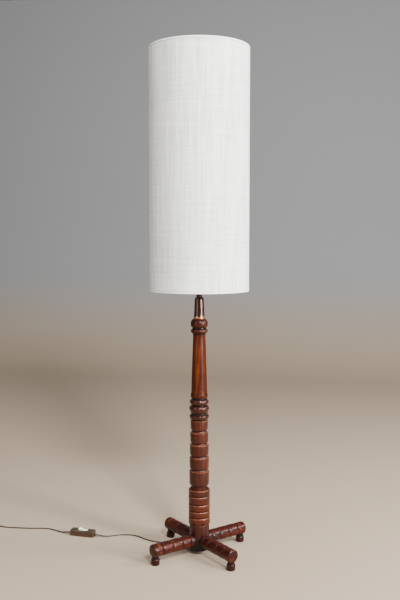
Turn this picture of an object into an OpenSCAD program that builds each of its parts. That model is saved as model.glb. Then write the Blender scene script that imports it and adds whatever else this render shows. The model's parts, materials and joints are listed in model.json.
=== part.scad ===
// Candlestick floor lamp: a turned wooden post on a cross of four turned legs,
// a tall drum shade on a lampholder, and a flat twin cord with an inline switch.
// Millimetres. The origin is on the floor under the post, and +Z is up.
// The four legs lie on the diagonals of the X and Y axes.

/* [Base] */
// Largest diameter of a button foot
foot_d = 27; // [22:0.5:34]
// Height of a foot's button
foot_h = 20; // [14:0.5:26]
// Diameter of a foot's neck
foot_neck_d = 21.4; // [14:0.2:22]
// Height of neck that shows between button and leg
foot_neck_h = 5; // [3:0.5:12]
// Distance of each foot from the post's axis
foot_reach = 165; // [130:1:220]
// Diameter of the peg that holds a foot
foot_peg_d = 10; // [6:0.5:12]
// Length of the peg that holds a foot
foot_peg_h = 12; // [8:0.5:14]
// Diameter of a turned leg
leg_d = 40; // [34:0.5:48]
// Length of leg that stands out past its foot's centre
leg_overhang = 12; // [11:0.5:40]
// Depth of the grooves round a leg
leg_groove_depth = 2; // [0.6:0.1:2.5]
// Width of the grooves round a leg
leg_groove_w = 4.6; // [2:0.1:6]
// Diameter of the round tenon on a leg's inner end
tenon_d = 16; // [12:0.5:18]
// Distance from the post's axis to a tenon's end
tenon_start = 10; // [9:0.5:12]

/* [Lower column] */
// Diameter of the plain hub that the legs enter
hub_d = 63; // [56:0.5:66]
// Height of the plain hub above the legs' upper edge
hub_shoulder = 31.4; // [10:0.2:40]
// How far the hub reaches below the legs
hub_drop = 11; // [0:0.5:14]
// Diameter of the low rings above the hub
ring_d = 68; // [64:0.5:76]
// Heights of the five low rings, lowest first
ring_h = [20.9, 18.7, 19.7, 23.6, 27.2];
// Height of the grooves under the low rings
ring_gap_h = 2.2; // [1:0.1:4]
// Height of the sloping shoulder on the highest ring
shoulder_h = 9.5; // [3:0.5:14]
// Diameter of the grooves between the low rings
ring_groove_d = 60; // [52:0.5:63]
// Diameter of the deep groove above the low rings
waist_d = 49; // [44:0.5:54]
// Height of that deep groove
waist_h = 4.5; // [1:0.5:16]
// Heights of the five long drums, lowest first
drum_h = [46, 37, 35.4, 33.8, 32.4];
// Diameters at the drums' lower ends
drum_low_d = [62.4, 60.8, 59.6, 56.8, 53.8];
// Diameters at the drums' upper ends
drum_high_d = [63.4, 62.2, 60.2, 57.4, 55.8];
// Diameters of the grooves above each drum
drum_groove_d = [51.3, 51.5, 48, 45.7, 45.7];
// Height of the grooves between the drums
drum_groove_h = 5.6; // [4:0.1:9]
// Height of the groove between the highest drum and the collar
collar_gap_h = 2.5; // [2:0.1:6]

/* [Collar beads] */
// Diameter of the collar's lower ring
collar_ring_d = 61.5; // [56:0.5:68]
// Diameter of the collar's upper ring
high_ring_d = 59.6; // [54:0.2:68]
// Height of the collar's lower ring
low_ring_h = 15.5; // [9:0.5:18]
// Diameter of the short neck above the lower ring
collar_neck_d = 53.5; // [46:0.5:56]
// Height of the short neck above the lower ring
collar_neck_h = 8.1; // [4:0.1:12]
// Largest diameter of the collar's big bead
collar_bead_d = 62.8; // [54:0.2:68]
// Height of the collar's big bead
collar_bead_h = 21.4; // [16:0.2:30]
// Height of the groove above the big bead
bead_gap_h = 2.9; // [1:0.1:6]
// Height of the collar's upper ring
high_ring_h = 16.6; // [10:0.2:20]
// Diameter of the groove under the tapered part
collar_groove_d = 48; // [42:0.5:52]
// Height of that groove
collar_groove_h = 5; // [3:0.1:6]

/* [Upper column] */
// Diameter of the tapered part's flared foot
flare_d = 54.2; // [50:0.2:60]
// Height of the plain band at the flared foot's lower end
flare_band_h = 12; // [4:0.5:16]
// Height of the tapered part's flared foot
flare_h = 30; // [20:1:40]
// Diameter of the taper at its lower end
taper_low_d = 49.6; // [42:0.2:53]
// Diameter of the taper at its upper end
taper_high_d = 38.6; // [34:0.2:44]
// Height of the taper
taper_h = 165; // [100:1:220]
// How far the taper swells at its middle
taper_swell = 0.2; // [0:0.1:2]
// Height of the hollow between the taper and the thin bead
taper_neck_h = 9; // [6:0.5:14]
// Diameter of the thin bead above the taper
thin_bead_d = 53.2; // [44:0.2:58]
// Height of the thin bead
thin_bead_h = 12.5; // [6:0.5:16]
// Diameter of the groove between the two beads
bead_groove_d = 43.5; // [38:0.5:46]
// Height of the groove between the two beads
bead_groove_h = 3.5; // [2:0.5:8]
// Diameter of the round bead at the top of the wood
top_bead_d = 54; // [46:0.5:60]
// Height of the round bead at the top of the wood
top_bead_h = 28.5; // [18:0.5:34]
// Diameter of the joint tenon between the two parts of the post
joint_d = 24; // [18:0.5:30]
// Length of the joint tenon
joint_h = 30; // [20:1:40]

/* [Metal neck] */
// Diameter of the ferrule's foot
ferrule_low_d = 34.4; // [30:0.2:40]
// Diameter of the ferrule's upper end
ferrule_high_d = 29.2; // [26:0.2:34]
// Height of the ferrule
ferrule_h = 67.5; // [50:0.5:90]
// Wall of the ferrule
ferrule_wall = 1.2; // [0.8:0.1:2]
// Diameter of the neck sleeve
neck_d = 18.4; // [15:0.2:22]
// Height of the neck sleeve
neck_h = 29; // [15:0.5:45]
// Wall of the threaded tube
tube_wall = 1; // [0.8:0.1:2]

/* [Lampholder] */
// Outside diameter of the lampholder's skirt
skirt_d = 39; // [37:0.2:42]
// Wall of the skirt
skirt_wall = 2.2; // [1.6:0.1:3]
// Height of the skirt
skirt_h = 47; // [40:0.5:56]
// Height of the lampholder's cap
cap_h = 25; // [20:0.5:32]
// How far the seat that carries the shade stands out of the skirt
seat_reach = 4; // [3:0.2:7]
// Height of the seat above the skirt's lower edge
seat_up = 9; // [6:0.5:14]
// Wall of the shade ring
shade_ring_wall = 9; // [6:0.5:12]
// Height of the shade ring
shade_ring_h = 9; // [6:0.5:12]

/* [Bulb] */
// Diameter of the bulb's glass
bulb_d = 60; // [45:1:80]
// Whole height of the bulb
bulb_h = 108; // [96:1:130]
// Diameter of the bulb's screw cap
bulb_cap_d = 26.4; // [26:0.1:26.6]
// Height of the bulb's screw cap
bulb_cap_h = 24; // [22:0.5:27]

/* [Shade] */
// Outside diameter of the shade
shade_d = 308; // [240:1:400]
// Height of the shade
shade_h = 740; // [500:1:900]
// Thickness of the cloth
cloth_t = 0.8; // [0.5:0.1:1.5]
// Thickness of the stiff liner
liner_t = 0.6; // [0.4:0.1:1.2]
// Height of the rolled hems
hem_h = 7; // [6:0.5:12]
// How far the rolled hems stand proud
hem_proud = 0.6; // [0.2:0.1:1.5]
// Diameter of the ring wires
wire_d = 4; // [3:0.2:5]
// Diameter of the carrier's arms
arm_d = 3.4; // [2.6:0.2:4.2]
// Height of the carrier's centre ring above the shade's lower edge
recess = 46; // [30:1:80]
// Width of the carrier's centre ring
carrier_ring_w = 5; // [4:0.5:8]
// Number of arms on the carrier
arm_count = 3; // [3:1:4]

/* [Cord and switch] */
// Width of the flat twin cord
cord_w = 6.2; // [5:0.1:7]
// Thickness of the flat twin cord
cord_t = 3.1; // [2.5:0.1:3.5]
// Length of the switch
switch_l = 85; // [76:1:100]
// Width of the switch
switch_w = 28; // [24:0.5:32]
// Height of the switch
switch_h = 20.5; // [18:0.5:24]
// Length of the rocker
rocker_l = 31; // [26:0.5:34]
// Width of the rocker
rocker_w = 13; // [10:0.5:15]
// How far the rocker tips to each side
rocker_tip = 8; // [5:0.5:10]
// Number of whole and part turns in the coil
coil_turns = 6.25; // [4.25:1:8.25]
// Radius of the coil's inmost cord line
coil_inner_r = 24; // [22:0.5:30]
// Length of the plug's body
plug_l = 36; // [32:0.5:42]
// Width of the plug's body
plug_w = 26; // [24:0.5:32]
// Thickness of the plug's body
plug_t = 13.6; // [12:0.2:16]

/* [Hidden] */
$fn = 96;

// Clearances between pieces
glue_gap = 0.1;   // radial, wood in wood
slip_gap = 0.3;   // radial, metal in wood
fit_gap = 0.1;    // radial, metal on metal
face_gap = 0.1;   // axial, where one piece turns on another
skin_gap = 0.05;  // radial, between cloth, liner and wires
thread_gap = 0.4;  // radial, between the bulb's cap and its screw shell
carrier_gap = 1.5;  // radial, between the skirt and the carrier's ring
bush_gap = 0.2;   // radial, round the cord in its bush
coil_gap = 0.6;   // between neighbouring turns of the coil

// Rod sizes, from the cord that goes through
bush_wall = 0.65;
bush_bore = cord_w + 2 * bush_gap;
tube_bore = bush_bore + 2 * bush_wall + fit_gap;
tube_d = tube_bore + 2 * tube_wall;

// Heights that follow from the base
leg_bottom = foot_h + foot_neck_h;
leg_axis = leg_bottom + leg_d / 2;
leg_tip = foot_reach + leg_overhang;
foot_sink = 3;
foot_taper = 3;  // how far a foot's lower edge is rounded in
foot_round = 5;
hub_bottom = leg_bottom - hub_drop;
hub_top = leg_bottom + leg_d + hub_shoulder;
hub_round = 1.5;
leg_end_round = 5;
leg_grooves = [41, 72, 109, 146];

// Heights up the lower column
ring_count = len(ring_h);
rings_bottom = hub_top + ring_gap_h;
function ring_z(i) = i == 0 ? rings_bottom : ring_z(i - 1) + ring_h[i - 1] + ring_gap_h;
rings_top = ring_z(ring_count - 1) + ring_h[ring_count - 1];
drums_bottom = rings_top + waist_h;
last_drum = len(drum_h) - 1;
function gap_above(i) = i == last_drum ? collar_gap_h : drum_groove_h;
function drum_z(i) = i == 0 ? drums_bottom : drum_z(i - 1) + drum_h[i - 1] + gap_above(i - 1);
collar_bottom = drum_z(last_drum) + drum_h[last_drum] + gap_above(last_drum);
collar_neck_z = collar_bottom + low_ring_h;
collar_bead_z = collar_neck_z + collar_neck_h;
high_ring_z = collar_bead_z + collar_bead_h + bead_gap_h;
lower_top = high_ring_z + high_ring_h + collar_groove_h / 2;

// Heights up the upper column
flare_z = lower_top + collar_groove_h / 2;
taper_z = flare_z + flare_h;
taper_top = taper_z + taper_h;
thin_bead_z = taper_top + taper_neck_h;
top_bead_z = thin_bead_z + thin_bead_h + bead_groove_h;
wood_top = top_bead_z + top_bead_h;
wood_bore = tube_d + 2 * slip_gap;

// Lampholder sizes that follow from the bulb and the skirt
shell_bore = bulb_cap_d + 2 * thread_gap;
seat_d = skirt_d + 2 * seat_reach;
carrier_bore = skirt_d + 2 * carrier_gap;
shade_ring_d = skirt_d + 2 * shade_ring_wall;

// Heights of the metal neck and the lampholder
ferrule_top = wood_top + ferrule_h;
holder_z = ferrule_top + neck_h;
skirt_z = holder_z + cap_h;
seat_z = skirt_z + seat_up;
seat_t = 2;
carrier_z = seat_z + seat_t + face_gap;
carrier_t = 2;
shade_ring_z = carrier_z + carrier_t + face_gap;
skirt_top = skirt_z + skirt_h;
insert_z = skirt_z + 1;
insert_h = 18;
shell_z = insert_z + insert_h;
tube_top = holder_z + 9;

// Counterbore, washer, nut and bush under the post
washer_d = tube_d + 15;
counterbore_d = washer_d + 5;
counterbore_h = 20;
washer_z = hub_bottom + counterbore_h;
washer_t = 2;
nut_h = 4.5;
nut_flats = tube_d + 4;
tube_bottom = washer_z - washer_t - nut_h - 0.5;
bush_flange_d = tube_d + 2.5;
bush_flange_h = 1.5;
bush_sleeve_h = 8;
cord_exit_z = tube_bottom - bush_flange_h;

// Bulb
bulb_z = shell_z + 2;
bulb_tip_h = 2;
bulb_base_z = bulb_z + bulb_tip_h;
bulb_insulator_h = 3;
glass_wall = 0.9;

// Shade
shade_z = carrier_z - recess;
shade_top = shade_z + shade_h;
cloth_r = shade_d / 2;
liner_r = cloth_r - cloth_t - skin_gap;
ring_r = liner_r - liner_t - skin_gap - wire_d / 2;
hem_in_r = ring_r - wire_d / 2 - skin_gap - cloth_t;

// Switch
switch_at = [-411, 79];
switch_turn = -6;
switch_split = switch_h * 0.42;
switch_wall = 2;
cord_entry_z = 7;
gland_d = cord_w + 4.2;
gland_l = 4.5;
pin_d = 2.4;
pin_z = switch_h - 3.2;

// Coil and plug
coil_at = [-770, 80];
tie_t = 0.6;
coil_z = cord_t / 2 + tie_t + 0.25;
coil_layer = cord_t + coil_gap + 0.05;
coil_step = cord_w + coil_gap;
tie_w = 6;
plug_z = plug_t / 2;
relief_l = 22;
relief_d = [8, 11];
pin_reach = 19;
pin_spacing = 18.6;
plug_pin_d = 4;

// ---------- helpers ----------

// Points of an arc about a centre, from one angle to another
function arc(c, rx, ry, from, to, steps = 6) =
    [for (i = [0:steps]) let (a = from + (to - from) * i / steps) [c[0] + rx * cos(a), c[1] + ry * sin(a)]];

// Outline of one turned drum, from its lower edge to its upper edge; each edge is [in, up]
function drum(z, h, low_d, high_d, low, high) = concat(
    arc([low_d / 2 - low[0], z + low[1]], low[0], low[1], -90, 0, 6),
    arc([high_d / 2 - high[0], z + h - high[1]], high[0], high[1], 0, 90, 6)
);

// Outline of one full bead, a half ellipse on a neck
function bead(z, h, neck, d, steps = 10) = arc([neck / 2, z + h / 2], (d - neck) / 2, h / 2, -90, 90, steps);

// A solid turned from an outline that runs up its outer side
module turned(outline, bore = 0) {
    low = outline[0][1];
    high = outline[len(outline) - 1][1];
    difference() {
        rotate_extrude() polygon(concat([[0, low]], outline, [[0, high]]));
        if (bore > 0) translate([0, 0, low - 1]) cylinder(d = bore, h = high - low + 2);
    }
}

// A round tube
module pipe(outer, inner, z, h) {
    translate([0, 0, z]) difference() {
        cylinder(d = outer, h = h);
        translate([0, 0, -1]) cylinder(d = inner, h = h + 2);
    }
}

// A hexagon nut
module nut(flats, inner, z, h) {
    translate([0, 0, z]) difference() {
        cylinder(d = flats / cos(30), h = h, $fn = 6);
        translate([0, 0, -1]) cylinder(d = inner, h = h + 2);
    }
}

// Section of the flat twin cord
module cord_section() {
    square([cord_w - cord_t, cord_t], center = true);
    for (side = [-1, 1]) translate([side * (cord_w - cord_t) / 2, 0]) circle(d = cord_t);
}

// A flat tube swept along points; its wide side stays level
function heading(p, i, first, last) =
    i == 0 && norm(first) > 0 ? first :
    i == len(p) - 1 && norm(last) > 0 ? last :
    p[min(i + 1, len(p) - 1)] - p[max(i - 1, 0)];
function level_side(p, i, first, last) =
    let (d = heading(p, i, first, last), flat = norm([d[0], d[1]]))
    flat > 0.5 ? [-d[1], d[0], 0] / flat : level_side(p, i + 1, first, last);
function section_ring(p, i, sides, first, last) =
    let (d = heading(p, i, first, last), s = level_side(p, i, first, last), u = cross(d / norm(d), s),
         phase = sides % 4 == 0 ? 0.5 : 0,
         angles = [for (k = [0:sides - 1]) 360 * (k + phase) / sides],
         wide = cord_w / 2 / max([for (a = angles) cos(a)]),
         thick = cord_t / 2 / max([for (a = angles) sin(a)]))
    [for (a = angles) p[i] + s * cos(a) * wide + u * sin(a) * thick];
module swept(p, sides, first = [0, 0, 0], last = [0, 0, 0]) {
    rings = [for (i = [0:len(p) - 1]) each section_ring(p, i, sides, first, last)];
    top = (len(p) - 1) * sides;
    walls = [for (i = [0:len(p) - 2], k = [0:sides - 1])
        let (a = i * sides + k, b = i * sides + (k + 1) % sides)
        each [[a, b, b + sides], [a, b + sides, a + sides]]];
    ends = [for (k = [1:sides - 2]) each [[0, k + 1, k], [top, top + k, top + k + 1]]];
    polyhedron(points = rings, faces = concat(walls, ends), convexity = 10);
}

// ---------- wooden post ----------

// Roundings of the turned edges, as [in, up]
ring_low_edge = [1.6, 2];
ring_high_edge = [2.6, 4.5];
drum_low_edge = [4, 6.5];
drum_high_edge = [1, 1];
shoulder_round = [1, 1.5];
hub_low_edge = 2;
cove_land = 1.1;       // floor of each groove above its hollow
low_ring_widest = 0.7;  // share of the ring's height where it is widest
low_ring_lip = 0.6;    // how far the ring stands out from the groove under it
bead_lip = 1.6;
big_bead_widest = 0.55;
function neck_under(i) = i == 0 ? waist_d : drum_groove_d[i - 1];

lower_outline = concat(
    [[hub_d / 2 - hub_low_edge, hub_bottom], [hub_d / 2, hub_bottom + hub_low_edge]],
    arc([hub_d / 2 - hub_round, hub_top - hub_round], hub_round, hub_round, 0, 90, 5),
    [for (i = [0:ring_count - 2]) each concat(
        [[ring_groove_d / 2, ring_z(i) - ring_gap_h], [ring_groove_d / 2, ring_z(i)]],
        drum(ring_z(i), ring_h[i], ring_d, ring_d, ring_low_edge, ring_high_edge))],
    [[ring_groove_d / 2, ring_z(ring_count - 1) - ring_gap_h], [ring_groove_d / 2, ring_z(ring_count - 1)]],
    drum(ring_z(ring_count - 1), ring_h[ring_count - 1] - shoulder_h, ring_d, ring_d,
        ring_low_edge, shoulder_round),
    [[waist_d / 2, rings_top]],
    [for (i = [0:len(drum_h) - 1]) each concat(
        [[neck_under(i) / 2, drum_z(i) - 1], [neck_under(i) / 2, drum_z(i)]],
        drum(drum_z(i), drum_h[i], drum_low_d[i], drum_high_d[i], drum_low_edge, drum_high_edge),
        let (cove_h = gap_above(i) - cove_land)
        arc([drum_high_d[i] / 2 - drum_high_edge[0], drum_z(i) + drum_h[i] + cove_h],
            (drum_high_d[i] - drum_groove_d[i]) / 2 - drum_high_edge[0], cove_h, -90, -180, 5))],
    [[drum_groove_d[last_drum] / 2 + low_ring_lip, collar_bottom]],
    arc([drum_groove_d[last_drum] / 2 + low_ring_lip, collar_bottom + low_ring_h * low_ring_widest],
        (collar_ring_d - drum_groove_d[last_drum]) / 2 - low_ring_lip, low_ring_h * low_ring_widest,
        -75, 0, 7),
    arc([collar_neck_d / 2, collar_bottom + low_ring_h * low_ring_widest + 0.8],
        (collar_ring_d - collar_neck_d) / 2, low_ring_h * (1 - low_ring_widest) - 0.8, 0, 90, 5),
    [[collar_neck_d / 2, collar_bead_z - bead_lip]],
    [[collar_neck_d / 2 + bead_lip, collar_bead_z]],
    arc([collar_groove_d / 2, collar_bead_z + collar_bead_h * big_bead_widest],
        (collar_bead_d - collar_groove_d) / 2, collar_bead_h * (1 - big_bead_widest), 0, 90, 8),
    [[collar_groove_d / 2, high_ring_z]],
    bead(high_ring_z, high_ring_h, collar_groove_d, high_ring_d, 12),
    [[collar_groove_d / 2, lower_top]]
);

module lower_column() {
    color("saddlebrown") difference() {
        turned(lower_outline, wood_bore);
        translate([0, 0, hub_bottom - 1]) cylinder(d = counterbore_d, h = counterbore_h + 1);
        translate([0, 0, lower_top - joint_h - 1]) cylinder(d = joint_d + 2 * glue_gap, h = joint_h + 2);
        for (a = [45:90:315]) rotate([0, 0, a]) translate([tenon_start - 1, 0, leg_axis])
            rotate([0, 90, 0]) cylinder(d = tenon_d + 2 * glue_gap, h = hub_d);
    }
}

function taper_r(t) = (taper_low_d + (taper_high_d - taper_low_d) * t) / 2 + taper_swell * sin(180 * t);

band_round = 1.5;
band_draw = 0.6;  // how much narrower the band is at its lower edge
band_step = 1.2;  // how far the band stands proud of the flare above it
band_lip = 0.4;
neck_flare = [0.9, 2];  // how far the hollow under the thin bead opens, at its middle and its top
top_bead_widest = 0.456;
top_bead_undercut = 2;
top_bead_slope = 13;      // how far the bead's upper curve reaches in
top_bead_slope_end = 72;  // angle at which that curve meets the flat top

upper_outline = concat(
    [[collar_groove_d / 2, lower_top], [collar_groove_d / 2, flare_z]],
    drum(flare_z, flare_band_h, flare_d - band_draw, flare_d,
        [band_round, band_round], [band_round, band_round]),
    [for (i = [0:6]) let (t = i / 6)
        [taper_low_d / 2 + ((flare_d - taper_low_d) / 2 - band_step) * pow(1 - t, 2),
         flare_z + flare_band_h + band_lip + (flare_h - flare_band_h - band_lip) * t]],
    [for (i = [1:12]) [taper_r(i / 12), taper_z + taper_h * i / 12]],
    [[taper_high_d / 2 + neck_flare[0], taper_top + taper_neck_h / 2],
        [taper_high_d / 2 + neck_flare[1], thin_bead_z]],
    bead(thin_bead_z, thin_bead_h, bead_groove_d, thin_bead_d),
    [[bead_groove_d / 2, top_bead_z]],
    arc([bead_groove_d / 2 - top_bead_undercut, top_bead_z + top_bead_h * top_bead_widest],
        (top_bead_d - bead_groove_d) / 2 + top_bead_undercut, top_bead_h * top_bead_widest, -75, 0, 9),
    arc([top_bead_d / 2 - top_bead_slope, top_bead_z + top_bead_h * top_bead_widest],
        top_bead_slope, top_bead_h * (1 - top_bead_widest) / sin(top_bead_slope_end),
        0, top_bead_slope_end, 9)
);

module upper_column() {
    color("sienna") difference() {
        union() {
            turned(upper_outline);
            translate([0, 0, lower_top - joint_h]) cylinder(d = joint_d, h = joint_h + 1);
        }
        translate([0, 0, lower_top - joint_h - 1])
            cylinder(d = wood_bore, h = wood_top - lower_top + joint_h + 2);
    }
}

// ---------- legs and feet ----------

groove_lip = 0.3;    // share of a groove's depth at half its width
groove_floor = 0.4;  // half the width of a groove's flat floor

// Outline of a leg along its own length, from its shoulder to its tip
leg_outline = concat(
    [[leg_d / 2, 0]],
    [for (r = leg_grooves) each [
        [leg_d / 2, r - leg_groove_w],
        [leg_d / 2 - leg_groove_depth * groove_lip, r - leg_groove_w / 2],
        [leg_d / 2 - leg_groove_depth, r - groove_floor],
        [leg_d / 2 - leg_groove_depth, r + groove_floor],
        [leg_d / 2 - leg_groove_depth * groove_lip, r + leg_groove_w / 2],
        [leg_d / 2, r + leg_groove_w]]],
    arc([leg_d / 2 - leg_end_round, leg_tip - leg_end_round], leg_end_round, leg_end_round, 0, 90, 6)
);

module leg(angle) {
    color("brown") rotate([0, 0, angle]) difference() {
        union() {
            intersection() {
                translate([0, 0, leg_axis]) rotate([0, 90, 0]) turned(leg_outline);
                translate([0, 0, leg_axis - leg_d]) linear_extrude(2 * leg_d)
                    polygon([[1, 0], [leg_tip + 9, leg_tip + 8], [leg_tip + 9, -leg_tip - 8]]);
            }
            translate([tenon_start, 0, leg_axis]) rotate([0, 90, 0]) cylinder(d = tenon_d, h = hub_d / 2);
        }
        difference() {
            translate([0, 0, leg_bottom - 1]) cylinder(d = hub_d + 2 * glue_gap, h = leg_d + 2);
            translate([tenon_start, 0, leg_axis]) rotate([0, 90, 0]) cylinder(d = tenon_d, h = hub_d / 2);
        }
        translate([foot_reach, 0, leg_bottom - 1])
            cylinder(d = foot_neck_d + 2 * glue_gap, h = foot_sink + 1);
        translate([foot_reach, 0, leg_bottom])
            cylinder(d = foot_peg_d + 2 * glue_gap, h = foot_sink + foot_peg_h + 1);
    }
}

foot_outline = concat(
    drum(0, foot_h, foot_d, foot_d, [foot_taper, foot_round], [(foot_d - foot_neck_d) / 2, foot_round]),
    [[foot_neck_d / 2, foot_h + 0.5], [foot_neck_d / 2, leg_bottom + foot_sink]]
);

module foot(angle) {
    color("maroon") rotate([0, 0, angle]) translate([foot_reach, 0, 0]) {
        turned(foot_outline);
        translate([0, 0, leg_bottom + foot_sink - 1]) cylinder(d = foot_peg_d, h = foot_peg_h + 1);
    }
}

module leg_front_left() { leg(225); }
module leg_front_right() { leg(315); }
module leg_back_left() { leg(135); }
module leg_back_right() { leg(45); }
module foot_front_left() { foot(225); }
module foot_front_right() { foot(315); }
module foot_back_left() { foot(135); }
module foot_back_right() { foot(45); }

// ---------- rod and fixings ----------

module threaded_tube() {
    color("lightsteelblue") pipe(tube_d, tube_bore, tube_bottom, tube_top - tube_bottom);
}

module base_washer() {
    color("silver") pipe(washer_d, tube_d + fit_gap, washer_z - washer_t, washer_t);
}

module base_nut() {
    color("goldenrod") nut(nut_flats, tube_d + fit_gap, washer_z - washer_t - nut_h, nut_h);
}

module cord_bush() {
    color("dimgray") difference() {
        union() {
            translate([0, 0, cord_exit_z]) cylinder(d = bush_flange_d, h = bush_flange_h);
            translate([0, 0, cord_exit_z])
                cylinder(d = tube_bore - fit_gap, h = bush_flange_h + bush_sleeve_h);
        }
        translate([0, 0, cord_exit_z - 1]) cylinder(d = bush_bore, h = bush_sleeve_h + 5);
    }
}

// ---------- metal neck ----------

ferrule_band_h = 8;   // straight foot
ferrule_step_h = 4;   // slope from the foot to the tapered body
ferrule_step = 0.32;  // share of the taper taken by that slope
ferrule_plain_h = 5;  // straight stretch under the dome
dome = [5, 9];        // the dome's rounding, inwards and upwards
dome_land = 4.4;

ferrule_outline = concat(
    [[ferrule_low_d / 2, wood_top], [ferrule_low_d / 2, wood_top + ferrule_band_h]],
    [for (i = [1:5]) let (t = i / 5) [
        ferrule_low_d / 2 - (ferrule_low_d - ferrule_high_d) / 2 * (ferrule_step + (1 - ferrule_step) * t),
        wood_top + ferrule_band_h + ferrule_step_h
            + (ferrule_h - ferrule_band_h - ferrule_step_h - ferrule_plain_h - dome[1]) * t]],
    arc([ferrule_high_d / 2 - dome[0], ferrule_top - dome[1]], dome[0], dome[1], 0, 70, 6),
    [[ferrule_high_d / 2 - dome_land, ferrule_top]]
);

module ferrule() {
    color("darkgoldenrod") difference() {
        turned(ferrule_outline, tube_d + 2 * fit_gap);
        translate([0, 0, wood_top - 1])
            cylinder(d = ferrule_high_d - 2 * ferrule_wall, h = ferrule_h - dome[1]);
    }
}

module neck_sleeve() {
    color("darkslategray") pipe(neck_d, tube_d + 2 * fit_gap, ferrule_top, neck_h);
}

cap_wall = 2;
lock_nut_lift = 0.5;
lock_nut_h = 3.5;

module lock_nut() {
    color("goldenrod") nut(nut_flats, tube_d + fit_gap, holder_z + cap_wall + lock_nut_lift, lock_nut_h);
}

// ---------- lampholder ----------

cap_neck_d = neck_d + 5;

module cap_shape(inset) {
    rotate_extrude() polygon(concat(
        [[0, holder_z + inset], [cap_neck_d / 2 - inset, holder_z + inset]],
        arc([cap_neck_d / 2 - inset, skirt_z - 4], (skirt_d - cap_neck_d) / 2, cap_h - 6 - inset, -60, 0, 8),
        [[skirt_d / 2 - inset, skirt_z], [0, skirt_z]]));
}

module holder_cap() {
    color("black") difference() {
        cap_shape(0);
        intersection() {
            translate([0, 0, 0.01]) cap_shape(cap_wall);
            translate([0, 0, holder_z + cap_wall]) cylinder(d = skirt_d, h = cap_h);
        }
        translate([0, 0, holder_z - 1]) cylinder(d = tube_d + fit_gap, h = cap_h);
    }
}

module holder_skirt() {
    color("dimgray") difference() {
        union() {
            translate([0, 0, skirt_z]) cylinder(d = skirt_d, h = skirt_h);
            translate([0, 0, seat_z]) cylinder(d = seat_d, h = seat_t);
        }
        translate([0, 0, skirt_z - 1]) cylinder(d = skirt_d - 2 * skirt_wall, h = skirt_h + 2);
    }
}

insert_d = skirt_d - 2 * skirt_wall - 2 * fit_gap;
cord_room_d = 9;
screw_spread = 20;
terminal_d = 3;
terminal_head_d = 5.4;
terminal_head_h = 2.4;
shell_t = 0.6;
shell_lip = 3.5;  // how far the shell's floor reaches in

module holder_insert() {
    color("ivory") difference() {
        translate([0, 0, insert_z]) cylinder(d = insert_d, h = insert_h);
        translate([0, 0, insert_z - 1]) cylinder(d = cord_room_d, h = 9);
        for (side = [-1, 1]) translate([side * screw_spread / 2, 0, insert_z - 1])
            cylinder(d = terminal_d + fit_gap, h = insert_h - 3);
    }
}

module screw_shell() {
    color("gold") {
        pipe(shell_bore + 2 * shell_t, shell_bore, shell_z, skirt_top - shell_z - 6);
        pipe(shell_bore + 2 * shell_t, shell_bore - 2 * shell_lip, shell_z, 0.8);
    }
}

module centre_contact() {
    color("goldenrod") {
        translate([-3, -2.5, shell_z]) cube([6, 5, 0.6]);
        translate([2.2, -2.5, shell_z]) cube([0.8, 5, 1.95]);
        translate([-2, -2.5, shell_z + 1.35]) cube([5, 5, 0.6]);
    }
}

module terminal_screws() {
    color("silver") for (side = [-1, 1]) translate([side * screw_spread / 2, 0, 0]) {
        translate([0, 0, insert_z - 0.6]) cylinder(d = terminal_d, h = insert_h - 4);
        translate([0, 0, insert_z - 2.6]) cylinder(d = terminal_head_d, h = terminal_head_h);
    }
}

flange_h = shade_ring_h * 0.4;
grip_in = 3;  // how far the gripped part stands in from the flange's edge
grip_count = 24;
grip_d = 1.6;

module shade_ring() {
    color("black") difference() {
        union() {
            translate([0, 0, shade_ring_z]) cylinder(d = shade_ring_d, h = flange_h);
            translate([0, 0, shade_ring_z]) cylinder(d = shade_ring_d - 2 * grip_in, h = shade_ring_h);
        }
        translate([0, 0, shade_ring_z - 1]) cylinder(d = skirt_d + fit_gap, h = shade_ring_h + 2);
        for (i = [0:grip_count - 1]) rotate([0, 0, i * 360 / grip_count])
            translate([shade_ring_d / 2 - grip_in + 0.4, 0, shade_ring_z + flange_h])
                cylinder(d = grip_d, h = shade_ring_h);
    }
}

// ---------- bulb ----------

bulb_top = bulb_z + bulb_h;
cap_top = bulb_base_z + bulb_insulator_h + bulb_cap_h;
globe_z = bulb_top - bulb_d / 2;
glass_neck_d = bulb_cap_d - 1.4;
glass_in_cap = 3;  // how far the glass reaches into its cap
cap_floor = 1.5;
function glass_outline(inset) = concat(
    [[glass_neck_d / 2 - inset, cap_top - glass_in_cap], [glass_neck_d / 2 - inset, cap_top + 2]],
    [for (i = [1:7]) let (t = i / 8, s = (1 - cos(180 * t)) / 2) [
        glass_neck_d / 2 - inset + (bulb_d * 0.47 - glass_neck_d / 2) * s,
        cap_top + 2 + (globe_z - 12 - cap_top) * t]],
    arc([0, globe_z], bulb_d / 2 - inset, bulb_d / 2 - inset, -14, 90, 20)
);

module bulb_glass() {
    color("white", 0.8) difference() {
        rotate_extrude() polygon(concat([[0, cap_top - glass_in_cap]], glass_outline(0)));
        rotate_extrude() polygon(concat(
            [[0, cap_top - glass_in_cap - 1], [glass_neck_d / 2 - glass_wall, cap_top - glass_in_cap - 1]],
            glass_outline(glass_wall)));
    }
}

module bulb_cap() {
    color("silver") difference() {
        translate([0, 0, bulb_base_z + bulb_insulator_h]) cylinder(d = bulb_cap_d, h = bulb_cap_h);
        translate([0, 0, bulb_base_z + bulb_insulator_h + cap_floor])
            cylinder(d = glass_neck_d + fit_gap, h = bulb_cap_h);
    }
}

module bulb_insulator() {
    color("black") translate([0, 0, bulb_base_z])
        cylinder(d1 = 12, d2 = bulb_cap_d - 4, h = bulb_insulator_h);
}

module bulb_tip() {
    color("lightgray") translate([0, 0, bulb_z]) cylinder(d1 = 6, d2 = 9, h = bulb_tip_h - face_gap);
}

// ---------- shade ----------

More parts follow.
